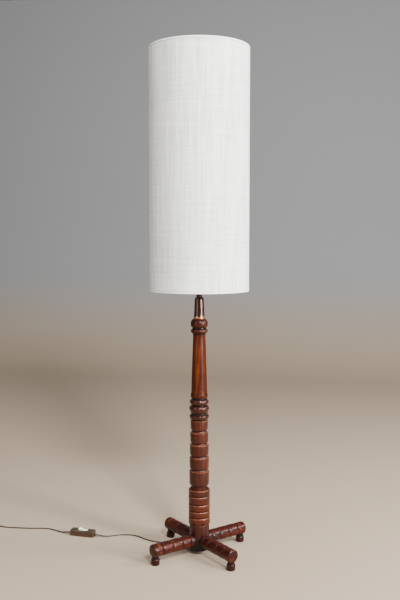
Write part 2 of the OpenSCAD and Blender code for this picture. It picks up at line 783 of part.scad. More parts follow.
// Section of a hem: the cloth goes over the liner and the ring wire and down inside
module hem_section(z, up) {
    low = up > 0 ? z - hem_h : z;
    difference() {
        translate([hem_in_r, low]) square([cloth_r + hem_proud - hem_in_r, hem_h]);
        translate([hem_in_r + cloth_t, up > 0 ? low - 1 : low + cloth_t])
            square([cloth_r - cloth_t - hem_in_r - cloth_t, hem_h - cloth_t + 1]);
    }
}

// The lower hem is slit where each arm of the carrier comes through
module shade_cloth() {
    color("linen") difference() {
        rotate_extrude() {
            translate([cloth_r - cloth_t, shade_z]) square([cloth_t, shade_h]);
            hem_section(shade_top, 1);
            hem_section(shade_z, -1);
        }
        for (i = [0:arm_count - 1]) rotate([0, 0, 90 + 360 / arm_count * i])
            translate([hem_in_r - 2, -slit_w / 2, shade_z + cloth_t]) cube([cloth_t + 3, slit_w, hem_h]);
    }
}

module shade_liner() {
    color("white") rotate_extrude() translate([liner_r - liner_t, shade_z + cloth_t + skin_gap])
        square([liner_t, shade_h - 2 * (cloth_t + skin_gap)]);
}

module wire_ring(z) {
    rotate_extrude() translate([ring_r, z]) circle(d = wire_d, $fn = 24);
}

bottom_wire_z = shade_z + cloth_t + skin_gap + wire_d / 2;
top_wire_z = shade_top - cloth_t - skin_gap - wire_d / 2;

module shade_top_ring() {
    color("gainsboro") wire_ring(top_wire_z);
}

// Arms run down from the centre ring to the bottom wire, which they are welded to
arm_in_r = carrier_bore / 2 + 3.6;
arm_in_z = carrier_z - 0.3;
arm_drop = arm_in_z - bottom_wire_z;
arm_run = ring_r - arm_in_r;
slit_w = arm_d + 1;

module shade_carrier() {
    color("whitesmoke") {
        wire_ring(bottom_wire_z);
        pipe(carrier_bore + 2 * carrier_ring_w, carrier_bore, carrier_z, carrier_t);
        for (i = [0:arm_count - 1]) rotate([0, 0, 90 + 360 / arm_count * i])
            translate([arm_in_r, 0, arm_in_z]) rotate([0, 90 + atan2(arm_drop, arm_run), 0])
                cylinder(d = arm_d, h = norm([arm_drop, arm_run]));
    }
}

// ---------- cord ----------

// Height of the cord's middle where it lies on the floor
lie = cord_t / 2 + 0.05;

// Route from the post to the switch; the last points are worked out from the switch's place
route_a = [
    [0, 0, 24], [0, 0, 18], [-1, 0, 12], [-4, 1, 6.4], [-9, 3, 3], [-16, 5, lie],
    [-28, 10, lie], [-41, 16, lie], [-54, 23, lie], [-68, 31, lie], [-82, 39, lie], [-96, 46, lie],
    [-111, 52, lie], [-127, 56, lie], [-143, 59, lie], [-159, 62, lie], [-174, 67, lie],
    [-189, 74, lie], [-203, 83, lie], [-217, 93, lie], [-232, 101, lie], [-248, 105, lie],
    [-264, 105, lie], [-280, 102, lie], [-295, 96, lie], [-309, 89, lie], [-322, 82, 2],
    [-335, 76.5, 3.5], [-348, 74, 5.6]
];

// Route from the switch to the coil
route_b = [
    [-474, 86, 5.6], [-486, 89, 3.5], [-499, 95, 2], [-512, 102, lie], [-525, 108, lie],
    [-539, 113, lie], [-554, 115, lie], [-569, 115, lie], [-584, 113, lie], [-599, 110, lie],
    [-614, 108, lie], [-629, 107, lie], [-644, 106, lie], [-659, 105, lie], [-674, 104, lie],
    [-689, 104, lie], [-704, 106, lie], [-718, 110, 1.7]
];
// Last points before the coil, from the coil's start
route_in = [[38, -9.2, -0.4], [24, -4.2, -0.1]];

// Last stretch, from the coil to the plug: distance along, and height over the coil's end
route_c = [[12, -0.6], [23, -1.2], [33, -0.4]];
route_c_l = 52;

function switch_end(side, out) =
    let (along = side * (switch_l / 2 + gland_l + out))
    [switch_at[0] + along * cos(switch_turn), switch_at[1] + along * sin(switch_turn), cord_entry_z];

// The coil winds in on the floor, climbs at its inmost half turn and winds out on top
coil_mid = coil_turns / 2;
function coil_rise(t) = let (u = min(max((t - coil_mid + 0.25) / 0.5, 0), 1)) u * u * (3 - 2 * u);
function coil_point(t) =
    let (r = coil_inner_r + coil_step * abs(t - coil_mid), a = 90 + 360 * t)
    [coil_at[0] + r * cos(a), coil_at[1] + r * sin(a), coil_z + coil_layer * coil_rise(t)];
coil_steps = ceil(coil_turns * 24);
coil_start = coil_point(0);
coil_end = coil_point(coil_turns);
coil_line = [for (i = [0:coil_steps]) coil_point(coil_turns * i / coil_steps)];

// The coil's least gap to itself, measured between rings at least three quarters of a turn apart
function section_gap(a, b) =
    let (flat = norm([a[0] - b[0], a[1] - b[1]]), spread = max(flat - (cord_w - cord_t), 0))
    norm([spread, a[2] - b[2]]) - cord_t;
coil_least = min([for (i = [0:coil_steps - 18], j = [i + 18:coil_steps])
    section_gap(coil_line[i], coil_line[j])]);
echo("least gap of the coil to itself", coil_least);

line_a = concat([[0, 0, cord_exit_z]], route_a, [switch_end(1, 8), switch_end(1, 0)]);
line_b = concat([switch_end(-1, 0), switch_end(-1, 8)], route_b,
    [for (p = route_in) coil_start + p], [coil_start + [8, 0, 0], coil_start]);
plug_turn = 180 + 360 * coil_turns;
plug_way = [cos(plug_turn), sin(plug_turn), 0];
plug_start = coil_end + route_c_l * plug_way + [0, 0, plug_z - coil_end[2]];
line_c = concat([coil_end], [for (p = route_c) coil_end + p[0] * plug_way + [0, 0, p[1]]],
    [plug_start - 9 * plug_way, plug_start]);

module inner_cord() {
    color("peru") translate([0, 0, cord_exit_z]) linear_extrude(insert_z + 7 - cord_exit_z)
        rotate([0, 0, 90]) cord_section();
}

module cord_to_switch() {
    color("olive") swept(line_a, 8);
}

module cord_to_coil() {
    color("olive") swept(line_b, 8, last = [-1, 0, 0]);
}

module cord_coil() {
    color("olive") swept(coil_line, 6, [-1, 0, 0], plug_way);
}

module cord_to_plug() {
    color("olive") swept(line_c, 8, plug_way, plug_way);
}

// A thin tie round all the turns
tie_angle = -50;
tie_gap = 0.3;
tie_radii = [for (k = [1:coil_turns])
    coil_inner_r + coil_step * abs(k + (tie_angle - 90) / 360 - coil_mid)];
tie_in = min(tie_radii) - cord_w / 2 - tie_gap;
tie_out = max(tie_radii) + cord_w / 2 + tie_gap;
tie_low = coil_z - cord_t / 2 - face_gap;
tie_high = coil_z + coil_layer + cord_t / 2 + face_gap;

module coil_tie() {
    color("dimgray") translate([coil_at[0], coil_at[1], 0]) rotate([0, 0, tie_angle])
        translate([0, tie_w / 2, 0]) rotate([90, 0, 0]) linear_extrude(tie_w) difference() {
            translate([tie_in - tie_t, tie_low - tie_t])
                square([tie_out - tie_in + 2 * tie_t, tie_high - tie_low + 2 * tie_t]);
            translate([tie_in, tie_low]) square([tie_out - tie_in, tie_high - tie_low]);
        }
}

// ---------- switch ----------

module at_switch() {
    translate([switch_at[0], switch_at[1], 0]) rotate([0, 0, switch_turn]) children();
}

// Plan of the switch, with rounded corners and slightly drawn-in ends
switch_corner = 6;
switch_draw = 2;  // how far each side is drawn in at the ends
module switch_plan(inset) {
    half = switch_l / 2 - inset;
    wide = switch_w / 2 - inset;
    r = switch_corner - inset;
    hull() for (side = [-1, 1], across = [-1, 1]) {
        translate([side * (half - r), across * (wide - switch_draw - r)]) circle(r = r, $fn = 32);
        translate([side * half * 0.5, across * (wide - 0.5)]) circle(r = 0.5, $fn = 16);
    }
}

// Side view of the switch; the cover's top falls away a little at its ends
module switch_side(inset) {
    half = switch_l / 2 - inset;
    high = switch_h - inset;
    polygon(concat(
        [[-half, -1], [half, -1]],
        arc([half - 5, high - 6.6], 5, 5, 0, 80, 6),
        [[half - 16, high - 0.5], [rocker_l / 2 + 6, high]],
        [[-rocker_l / 2 - 6, high], [16 - half, high - 0.5]],
        arc([5 - half, high - 6.6], 5, 5, 100, 180, 6)));
}

module switch_solid(inset, low, high) {
    intersection() {
        translate([0, 0, low]) linear_extrude(high - low) switch_plan(inset);
        translate([0, switch_w, 0]) rotate([90, 0, 0]) linear_extrude(2 * switch_w) switch_side(inset);
    }
}

entry_gap = 0.4;  // round the cord where it enters

// Bore for the cord at each end of the switch
module cord_ways() {
    for (side = [0, 180]) rotate([0, 0, side]) translate([switch_l / 2 - 12, 0, cord_entry_z])
        rotate([90, 0, 90]) linear_extrude(30) offset_section(entry_gap);
}

module offset_section(gap) {
    square([cord_w - cord_t, cord_t + 2 * gap], center = true);
    for (side = [-1, 1]) translate([side * (cord_w - cord_t) / 2, 0]) circle(d = cord_t + 2 * gap, $fn = 32);
}

screw_at = [switch_l / 2 - 15, 0];
screw_d = 3;
screw_head_d = 5.2;
screw_recess = [5.6, 2.2];  // diameter, and height with the millimetre under the base
post_d = 7;

module switch_base() {
    color("saddlebrown") at_switch() difference() {
        union() {
            switch_solid(0, 0, switch_split);
            for (side = [0, 180]) rotate([0, 0, side]) translate([switch_l / 2 - 6, 0, cord_entry_z])
                rotate([0, 90, 0]) cylinder(d = gland_d, h = 6 + gland_l);
        }
        switch_solid(switch_wall, switch_wall, switch_split + 1);
        translate([0, 0, switch_split]) linear_extrude(20) square([switch_l - 8, switch_w], center = true);
        cord_ways();
        for (side = [-1, 1]) translate([side * screw_at[0], screw_at[1], -1]) {
            cylinder(d = screw_d + fit_gap, h = 12);
            cylinder(d = screw_recess[0], h = screw_recess[1]);
        }
    }
    color("saddlebrown") at_switch() for (side = [-1, 1]) translate([side * screw_at[0], 0, 0])
        pipe(post_d, screw_d + fit_gap, switch_wall, switch_split - switch_wall);
}

module switch_cover() {
    color("peru") at_switch() difference() {
        union() {
            difference() {
                switch_solid(0, switch_split, switch_h);
                switch_solid(switch_wall, switch_split - 1, switch_h);
                for (side = [0, 180]) rotate([0, 0, side]) translate([switch_l / 2 - 7, 0, cord_entry_z])
                    rotate([0, 90, 0]) cylinder(d = gland_d + 2 * fit_gap, h = 30);
            }
            for (side = [-1, 1]) translate([side * screw_at[0], 0, switch_split])
                cylinder(d = post_d, h = 9);
            for (side = [-1, 1]) scale([1, side, 1]) translate([-4, rocker_w / 2 + 0.5, pin_z - 3])
                cube([8, 3, switch_h - pin_z + 2]);
        }
        translate([0, 0, switch_h]) cube([rocker_l + 1.6, rocker_w + 0.8, 14], center = true);
        translate([0, 0, pin_z]) rotate([90, 0, 0])
            cylinder(d = pin_d + fit_gap, h = rocker_w + 5, center = true);
        for (side = [-1, 1]) translate([side * screw_at[0], 0, switch_split - 1])
            cylinder(d = screw_d, h = 8);
    }
}

// The rocker at rest stands up on its left; its upper face is a shallow V
module switch_rocker() {
    color("ivory") at_switch() translate([0, 0, pin_z]) rotate([0, rocker_tip, 0]) difference() {
        translate([0, rocker_w / 2, 0]) rotate([90, 0, 0]) linear_extrude(rocker_w) polygon(concat(
            arc([0, 0], 4.2, 4.2, 180, 360, 10),
            [[rocker_l / 2 - 1, 0.6], [rocker_l / 2, 2], [rocker_l / 2 - 0.6, 5.4], [rocker_l / 2 - 3, 6.2]],
            [[0, 4.4]],
            [[3 - rocker_l / 2, 6.2], [0.6 - rocker_l / 2, 5.4]],
            [[-rocker_l / 2, 2], [1 - rocker_l / 2, 0.6]]));
        rotate([90, 0, 0]) cylinder(d = pin_d + fit_gap, h = 2 * rocker_w, center = true);
    }
}

module rocker_pin() {
    color("silver") at_switch() translate([0, 0, pin_z]) rotate([90, 0, 0])
        cylinder(d = pin_d, h = rocker_w + 5, center = true);
}

module switch_contacts() {
    color("gold") at_switch() for (side = [-1, 1]) translate([side * 12, 0, switch_wall]) {
        translate([-5, -4, 0]) cube([10, 8, 0.8]);
        translate([-0.4, -3, 0]) cube([0.8, 6, 5]);
    }
}

module switch_screws() {
    color("silver") at_switch() for (side = [-1, 1]) translate([side * screw_at[0], screw_at[1], 0.3]) {
        cylinder(d = screw_d - fit_gap, h = switch_split + 5);
        cylinder(d = screw_head_d, h = 0.7);
    }
}

// ---------- plug ----------

module at_plug() {
    translate([plug_start[0], plug_start[1], 0]) rotate([0, 0, plug_turn]) children();
}

module plug_body() {
    color("olive") at_plug() {
        translate([0, 0, plug_z]) rotate([0, 90, 0])
            cylinder(d1 = relief_d[0], d2 = relief_d[1], h = relief_l);
        intersection() {
            translate([relief_l - 1, 0, 0]) linear_extrude(plug_t) polygon(concat(
                [[0, -5], [0, 5]],
                arc([12, plug_w / 2 - 6], 8, 6, 150, 90, 4),
                [[plug_l + 1, plug_w / 2], [plug_l + 1, -plug_w / 2]],
                arc([12, 6 - plug_w / 2], 8, 6, -90, -150, 4)));
            translate([relief_l - 2, 0, plug_z]) rotate([90, 0, 90]) linear_extrude(plug_l + 4) polygon([
                [-plug_w / 2, -2.6], [-plug_w / 2 + 4, -plug_t / 2], [plug_w / 2 - 4, -plug_t / 2],
                [plug_w / 2, -2.6], [plug_w / 2, 2.6], [plug_w / 2 - 4, plug_t / 2],
                [4 - plug_w / 2, plug_t / 2], [-plug_w / 2, 2.6]]);
        }
    }
}

module plug_pins() {
    color("silver") at_plug() for (side = [-1, 1])
        translate([relief_l + plug_l, side * pin_spacing / 2, plug_z]) rotate([0, 90, 0]) {
            cylinder(d = plug_pin_d, h = pin_reach - 1);
            translate([0, 0, pin_reach - 1]) cylinder(d1 = plug_pin_d, d2 = plug_pin_d - 1.2, h = 1);
        }
}

lower_column();
upper_column();
leg_front_left();
leg_front_right();
leg_back_left();
leg_back_right();
foot_front_left();
foot_front_right();
foot_back_left();
foot_back_right();
threaded_tube();
base_washer();
base_nut();
cord_bush();
ferrule();
neck_sleeve();
lock_nut();
holder_cap();
holder_skirt();
holder_insert();
screw_shell();
centre_contact();
terminal_screws();
shade_ring();
bulb_glass();
bulb_cap();
bulb_insulator();
bulb_tip();
shade_cloth();
shade_liner();
shade_top_ring();
shade_carrier();
inner_cord();
cord_to_switch();
switch_base();
switch_cover();
switch_rocker();
rocker_pin();
switch_contacts();
switch_screws();
cord_to_coil();
cord_coil();
coil_tie();
cord_to_plug();
plug_body();
plug_pins();
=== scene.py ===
import json
import math

import bpy
from mathutils import Matrix, Vector


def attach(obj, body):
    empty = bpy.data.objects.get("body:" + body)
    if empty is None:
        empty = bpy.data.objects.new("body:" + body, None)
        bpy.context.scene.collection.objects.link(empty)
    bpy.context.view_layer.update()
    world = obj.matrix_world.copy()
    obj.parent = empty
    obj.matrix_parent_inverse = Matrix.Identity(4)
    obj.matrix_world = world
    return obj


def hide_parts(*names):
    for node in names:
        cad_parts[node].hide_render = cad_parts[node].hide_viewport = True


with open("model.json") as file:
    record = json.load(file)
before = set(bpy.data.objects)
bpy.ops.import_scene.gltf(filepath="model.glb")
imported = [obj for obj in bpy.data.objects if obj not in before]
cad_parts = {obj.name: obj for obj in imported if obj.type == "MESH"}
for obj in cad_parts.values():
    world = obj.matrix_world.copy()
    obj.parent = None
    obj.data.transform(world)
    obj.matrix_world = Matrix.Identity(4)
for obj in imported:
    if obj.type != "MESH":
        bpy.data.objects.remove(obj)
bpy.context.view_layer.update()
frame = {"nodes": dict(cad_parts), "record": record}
nodes = frame["nodes"]
mm = 0.001
print("stage: frame loaded,", len(nodes), "nodes")


def added(name, data):  # a new object in the scene
    obj = bpy.data.objects.new(name, data)
    bpy.context.scene.collection.objects.link(obj)
    return obj


# camera: fitted to the photo's shade rims, feet and post

photoCamera = {"place": (0.4092, -2.4184, 0.9934), "tilt": 85.671, "turn": 9.55, "lens": 47.4,
               "sensor": 36, "sees": 60}


def addCamera(facts):
    data = bpy.data.cameras.new("photoCamera")
    data.lens = facts["lens"]
    data.sensor_width = facts["sensor"]
    data.clip_end = facts["sees"]
    eye = added("photoCamera", data)
    eye.location = facts["place"]
    eye.rotation_euler = (math.radians(facts["tilt"]), 0, math.radians(facts["turn"]))
    bpy.context.scene.camera = eye


addCamera(photoCamera)


# shader maths as Python expressions

class Sock:  # one output socket of a material's node tree
    def __init__(self, tree, socket=None):
        self.tree, self.socket = tree, socket

    def add(self, kind, settings=None, values=None, out=0):
        made = self.tree.nodes.new(kind)
        for name, value in (settings or {}).items():
            setattr(made, name, value)
        for name, value in (values or {}).items():
            feed(made.inputs[name], value, self.tree)
        return Sock(self.tree, made.outputs[out])

    def maths(self, operation, *values):
        return self.add("ShaderNodeMath", {"operation": operation}, dict(enumerate(values)))

    def __add__(self, other): return self.maths("ADD", self, other)
    def __radd__(self, other): return self.maths("ADD", other, self)
    def __sub__(self, other): return self.maths("SUBTRACT", self, other)
    def __rsub__(self, other): return self.maths("SUBTRACT", other, self)
    def __mul__(self, other): return self.maths("MULTIPLY", self, other)
    def __pow__(self, other): return self.maths("POWER", self, other)
    def sin(self): return self.maths("SINE", self)
    def abs(self): return self.maths("ABSOLUTE", self)
    def clamp(self): return self.add("ShaderNodeClamp", None, {0: self})

    def step(self, low, high):  # 0 below low, 1 above high, smooth between
        return self.add("ShaderNodeMapRange", {"interpolation_type": "SMOOTHSTEP"},
                        {0: self, 1: low, 2: high, 3: 0.0, 4: 1.0})

    def mix(self, low, high):  # a colour from low to high as self goes from 0 to 1
        return self.add("ShaderNodeMix", {"data_type": "RGBA"}, {0: self, 6: low, 7: high}, out=2)


def feed(entry, value, tree):  # a link from a Sock, or a constant
    if isinstance(value, Sock):
        tree.links.new(value.socket, entry)
    else:
        entry.default_value = value


def rgb(red, green, blue):  # a colour as the screen shows it, 0 to 255
    return tuple(((c / 255 + 0.055) / 1.055) ** 2.4 if c > 10 else c / 255 / 12.92
                 for c in (red, green, blue)) + (1.0,)


class Finish:  # a new material, its Principled shader and noise in the piece's own coordinates
    def __init__(self, name, **constants):
        self.material = bpy.data.materials.new(name)
        self.material.use_nodes = True
        self.tree = self.material.node_tree
        self.shader = self.tree.nodes["Principled BSDF"]
        self.at = Sock(self.tree)
        for name, value in constants.items():
            self.set(name.replace("_", " "), value)

    def set(self, name, value):
        feed(self.shader.inputs[name], value, self.tree)

    def place(self, turn=0.0):  # x, y and z of the piece in metres, turned about Z
        point = self.at.add("ShaderNodeTexCoord", out="Object")
        if turn:
            point = self.at.add("ShaderNodeMapping", None, {
                "Vector": point, "Rotation": (0, 0, turn)})
        return [self.at.add("ShaderNodeSeparateXYZ", None, {0: point}, out=k) for k in range(3)]

    def noise(self, x, y, z, detail=3.0, roughness=0.55, scale=1.0):
        point = self.at.add("ShaderNodeCombineXYZ", None, {0: x, 1: y, 2: z})
        return self.at.add("ShaderNodeTexNoise", None, {
            "Vector": point, "Scale": scale, "Detail": detail, "Roughness": roughness})

    def bump(self, height, strength, distance):
        self.set("Normal", self.at.add("ShaderNodeBump", None, {
            "Strength": strength, "Distance": distance, "Height": height}))


# modelling helpers

def moved(obj, at=(0, 0, 0), turn=0, axis="Z"):  # its mesh turned by degrees, then moved by mm
    obj.data.transform(Matrix.Translation([c * mm for c in at])
                       @ Matrix.Rotation(math.radians(turn), 4, axis))
    return obj


def select(obj):
    bpy.ops.object.select_all(action="DESELECT")
    obj.select_set(True)
    bpy.context.view_layer.objects.active = obj


def modified(obj, kind, **settings):  # a modifier added, set and applied
    change = obj.modifiers.new(kind.lower(), kind)
    for name, value in settings.items():
        setattr(change, name, value)
    select(obj)
    bpy.ops.object.modifier_apply(modifier=change.name)
    return obj


def merged(obj, other, operation):
    modified(obj, "BOOLEAN", operation=operation, object=other, solver="EXACT")
    bpy.data.objects.remove(other)


def cut(obj, cutter):
    merged(obj, cutter, "DIFFERENCE")


def mode(name):
    bpy.ops.object.mode_set(mode=name)


def facesOut(mergeWithin=0.0):  # the active mesh's doubles merged and its normals turned outwards
    mode("EDIT")
    bpy.ops.mesh.select_all(action="SELECT")
    if mergeWithin:
        bpy.ops.mesh.remove_doubles(threshold=mergeWithin)
    bpy.ops.mesh.normals_make_consistent(inside=False)
    mode("OBJECT")


def smooth(angle):  # edges sharper than the angle in degrees stay sharp
    bpy.ops.object.shade_smooth_by_angle(angle=math.radians(angle))


def settle(obj, angle=35):  # its place goes into the mesh, then it is cleaned and smoothed
    select(obj)
    bpy.ops.object.transform_apply()
    facesOut(mergeWithin=0.01 * mm)
    smooth(angle)
    return obj


def drawn(name, points):  # a line drawn from one vertex through points in mm, left in edit mode
    bpy.ops.mesh.primitive_plane_add(size=0.01, location=(0, 0, 0))
    obj = bpy.context.object
    obj.name = name
    mode("EDIT")
    bpy.ops.mesh.select_all(action="SELECT")
    bpy.ops.mesh.merge(type="CENTER")
    points = [Vector([c * mm for c in p]) for p in points]
    bpy.ops.transform.translate(value=points[0])
    for last, this in zip(points, points[1:]):
        bpy.ops.mesh.extrude_region_move(TRANSFORM_OT_translate={"value": this - last})
    bpy.ops.mesh.select_all(action="SELECT")
    return obj


def turned(name, outline, steps=96, closed=False):  # an outline of (radius, height), spun about Z
    line = [(r, 0, z) for r, z in outline]
    obj = drawn(name, line + line[:1] if closed else line)
    bpy.ops.mesh.spin(steps=steps, angle=2 * math.pi, center=(0, 0, 0), axis=(0, 0, 1))
    mode("OBJECT")
    return settle(obj)


def extruded(name, outline, depth, edge):  # an outline of (x, z), pulled along Y and rounded
    obj = drawn(name, [(x, -depth / 2, z) for x, z in outline])
    bpy.ops.mesh.edge_face_add()
    bpy.ops.mesh.extrude_region_move(TRANSFORM_OT_translate={"value": (0, depth * mm, 0)})
    facesOut()
    return modified(obj, "BEVEL", width=edge * mm, segments=3, limit_method="ANGLE",
                    angle_limit=math.radians(38))


def block(name, size, centre):
    bpy.ops.mesh.primitive_cube_add(size=1, location=[c * mm for c in centre])
    obj = bpy.context.object
    obj.name = name
    obj.scale = [side * mm for side in size]
    bpy.ops.object.transform_apply()
    return obj


def rod(radius, long, centre, turn=(0, 0, 0), scale=(1, 1, 1), sides=32):
    bpy.ops.mesh.primitive_cylinder_add(vertices=sides, radius=radius * mm, depth=long * mm,
                                        location=[c * mm for c in centre], rotation=turn)
    bpy.context.object.scale = scale
    return bpy.context.object


def arcPoints(centre, rx, rz, start, stop, steps=6):
    return [(centre[0] + rx * math.cos(math.radians(start + (stop - start) * i / steps)),
             centre[1] + rz * math.sin(math.radians(start + (stop - start) * i / steps)))
            for i in range(steps + 1)]


def drumPoints(z, high, lowD, highD, low, top, steps=6):  # each edge is (in, up)
    return (arcPoints((lowD / 2 - low[0], z + low[1]), low[0], low[1], -90, 0, steps)
            + arcPoints((highD / 2 - top[0], z + high - top[1]), top[0], top[1], 0, 90, steps))


def beadPoints(z, high, neckD, beadD, steps=12):
    return arcPoints((neckD / 2, z + high / 2), (beadD - neckD) / 2, high / 2, -90, 90, steps)


def paint(obj, finish):
    obj.data.materials.clear()
    obj.data.materials.append(finish.material)


def show(obj, finish, body, slot, *replaced):
    paint(obj, finish)
    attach(obj, body)
    if replaced:
        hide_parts(*replaced)


# cord: flat clear vinyl twin, laid along the same points as in the CAD

cordFacts = {"wide": 6.2, "thick": 3.1, "floorZ": 1.6, "exitZ": 25.5, "switchAt": (-411, 79),
             "switchTurn": -6, "switchReach": 47, "entryZ": 7, "coilAt": (-770, 80), "coilZ": 2.4,
             "coilRise": 3.75, "coilTurns": 6.25, "coilIn": 24, "coilStep": 6.8, "plugRun": 52,
             "plugZ": 6.8}


def onFloor(*points):
    return [(x, y, cordFacts["floorZ"]) for x, y in points]


routeA = ([(0, 0, 24), (0, 0, 18), (-1, 0, 12), (-4, 1, 6.4), (-9, 3, 3)]
          + onFloor((-16, 5), (-28, 10), (-41, 16), (-54, 23), (-68, 31), (-82, 39), (-96, 46),
                    (-111, 52), (-127, 56), (-143, 59), (-159, 62), (-174, 67), (-189, 74),
                    (-203, 83), (-217, 93), (-232, 101), (-248, 105), (-264, 105), (-280, 102),
                    (-295, 96), (-309, 89))
          + [(-322, 82, 2), (-335, 76.5, 3.5), (-348, 74, 5.6)])
routeB = ([(-474, 86, 5.6), (-486, 89, 3.5), (-499, 95, 2)]
          + onFloor((-512, 102), (-525, 108), (-539, 113), (-554, 115), (-569, 115), (-584, 113),
                    (-599, 110), (-614, 108), (-629, 107), (-644, 106), (-659, 105), (-674, 104),
                    (-689, 104), (-704, 106))
          + [(-718, 110, 1.7)])
routeIn = [(38, -9.2, -0.4), (24, -4.2, -0.1), (8, 0, 0)]  # from the coil's start
routeC = [(12, -0.6), (23, -1.2), (33, -0.4)]  # past its end: along and up


def switchEnd(side, out):
    along = side * (cordFacts["switchReach"] + out)
    turn, (x, y) = math.radians(cordFacts["switchTurn"]), cordFacts["switchAt"]
    return (x + along * math.cos(turn), y + along * math.sin(turn), cordFacts["entryZ"])


def coilPoint(t):  # winds in on the floor, climbs at its inmost half turn and winds out on top
    f, past = cordFacts, t - cordFacts["coilTurns"] / 2
    r, a = f["coilIn"] + f["coilStep"] * abs(past), math.radians(90 + 360 * t)
    u = min(max((past + 0.25) / 0.5, 0), 1)
    climb = f["coilRise"] * u * u * (3 - 2 * u)
    return (f["coilAt"][0] + r * math.cos(a), f["coilAt"][1] + r * math.sin(a), f["coilZ"] + climb)


def rounded(points, steps):  # a smooth line through the points
    line = [Vector(p) for p in points]
    full = [line[0] * 2 - line[1]] + line + [line[-1] * 2 - line[-2]]
    out = []
    for a, b, c, d in zip(full, full[1:], full[2:], full[3:]):
        for i in range(steps):
            t = i / steps
            out.append(((2 * b) + (c - a) * t + (2 * a - 5 * b + 4 * c - d) * t * t
                        + (3 * b - a - 3 * c + d) * t ** 3) / 2)
    return out + [line[-1]]


def twinSection(wide, thick, around=7):  # two round cores side by side
    side = (wide - thick) / 2
    loop = []
    for centre, start in ((side, -80), (-side, 100)):
        for i in range(around):
            a = math.radians(start + 160 * i / (around - 1))
            loop.append((centre + thick / 2 * math.cos(a), thick / 2 * math.sin(a)))
    return loop


def layCord(name, line, section):
    # the section follows the line with its wide side level; u runs round it and v along it, in cm
    count = len(section)
    verts, faces, runs = [], [], [0.0]
    for a, b in zip(line, line[1:]):
        runs.append(runs[-1] + (b - a).length)
    side = Vector((0, 1, 0))
    for i, p in enumerate(line):
        ahead = (line[min(i + 1, len(line) - 1)] - line[max(i - 1, 0)]).normalized()
        level = Vector((-ahead.y, ahead.x, 0))
        if level.length > 0.35:
            side = level.normalized() if side.dot(level) >= 0 else -level.normalized()
        across = (side - ahead * side.dot(ahead)).normalized()
        up = ahead.cross(across)
        for x, y in section:
            verts.append((p + across * x + up * y) * mm)
    for i in range(len(line) - 1):
        for k in range(count):
            a, b = i * count + k, i * count + (k + 1) % count
            faces.append((a, b, b + count, a + count))
    faces += [tuple(range(count))[::-1], tuple(range(len(verts) - count, len(verts)))]
    mesh = bpy.data.meshes.new(name)
    mesh.from_pydata(verts, [], faces)
    uv = mesh.uv_layers.new(name="along")
    for face in mesh.polygons:
        for corner, loop in zip(face.vertices, face.loop_indices):
            ring, k = divmod(corner, count)
            wrap = count if k == 0 and any(v % count == count - 1 for v in face.vertices) else 0
            uv.data[loop].uv = ((k + wrap) / count, runs[ring] / 10)
    obj = added(name, mesh)
    select(obj)
    facesOut()
    smooth(50)
    return obj, runs[-1] * mm


def vinylFinish():
    finish = Finish("clearGoldVinyl", Roughness=0.28, Coat_Weight=0.4, Coat_Roughness=0.15)
    uv = finish.at.add("ShaderNodeUVMap", {"uv_map": "along"})
    u, v = [finish.at.add("ShaderNodeSeparateXYZ", None, {0: uv}, out=k) for k in (0, 1)]
    strands = ((v * 28 + u * 60).sin() * 0.5 + 0.5).step(0.2, 0.8)  # twisted copper seen through it
    web = ((u * 4 * math.pi).sin().abs()).step(0.15, 0.6)
    drift = finish.noise(v * 0.12, u * 0.5, 0.0, 2, scale=3)
    copper = drift.mix(rgb(44, 28, 12), rgb(82, 60, 28))
    dark = drift.mix(rgb(18, 11, 5), rgb(38, 26, 12))
    finish.set("Base Color", (strands * 0.55 * web + 0.25).mix(dark, copper))
    finish.bump(strands * web, 0.25, 0.0002)
    return finish


section = twinSection(cordFacts["wide"], cordFacts["thick"])
vinyl = vinylFinish()
lineA = rounded([(0, 0, cordFacts["exitZ"])] + routeA + [switchEnd(1, 8), switchEnd(1, 0)], 4)
coilStart, coilEnd = Vector(coilPoint(0)), Vector(coilPoint(cordFacts["coilTurns"]))
loops = [coilPoint(i / 48) for i in range(int(cordFacts["coilTurns"] * 48) + 1)]
plugStart = coilEnd + Vector((0, -cordFacts["plugRun"], cordFacts["plugZ"] - coilEnd.z))
tail = [coilEnd + Vector((0, -along, up)) for along, up in routeC]
lineB = (rounded([switchEnd(-1, 0), switchEnd(-1, 8)] + routeB
                 + [coilStart + Vector(p) for p in routeIn] + [coilStart], 4)[:-1]
         + [Vector(p) for p in loops][:-1]
         + rounded([coilEnd] + tail + [plugStart + Vector((0, 9, 0)), plugStart], 4))
cordA, lengthA = layCord("cordToSwitch", lineA, section)
cordB, lengthB = layCord("cordToPlug", lineB, section)
show(cordA, vinyl, "stand", "cord_gold", "cord_to_switch")
show(cordB, vinyl, "stand", "cord_gold", "cord_to_coil", "cord_coil", "cord_to_plug")
print("stage: cords laid,", round(lengthA, 3), "m and", round(lengthB, 3), "m")


# stained and varnished turned wood, with painted shade in its grooves and under its edges, and
# painted highlights on its rims

drumTones = {"deep": rgb(30, 7, 2), "middle": rgb(60, 16, 4), "warm": rgb(92, 32, 8)}
taperTones = {"deep": rgb(28, 6, 1), "middle": rgb(66, 21, 3), "warm": rgb(98, 42, 8)}
legTones = {"deep": rgb(22, 5, 2), "middle": rgb(56, 13, 5), "warm": rgb(90, 29, 11)}
footTones = {"deep": rgb(14, 4, 2), "middle": rgb(38, 9, 4), "warm": rgb(60, 18, 7)}


grain = {  # noise: times across, times along, detail, roughness
    "warp": (14, 3.5, 2, 0.5), "fibres": (240, 7, 5, 0.62), "figure": (60, 3, 3, 0.55),
    "pores": (1100, 34, 2, 0.5), "lathe": (12, 1500, 2, 0.5), "smear": (16, 16, 3, 0.5)}
pith = {"off": (0.026, -0.041), "wander": (0.03, 0.02), "rings": 1300}  # the tree's middle


def near(height, at, reach, fade):  # 1 within reach of a height in mm, 0 past it
    return ((reach + fade) * mm - (height - at * mm).abs()).step(0.0, fade * mm)


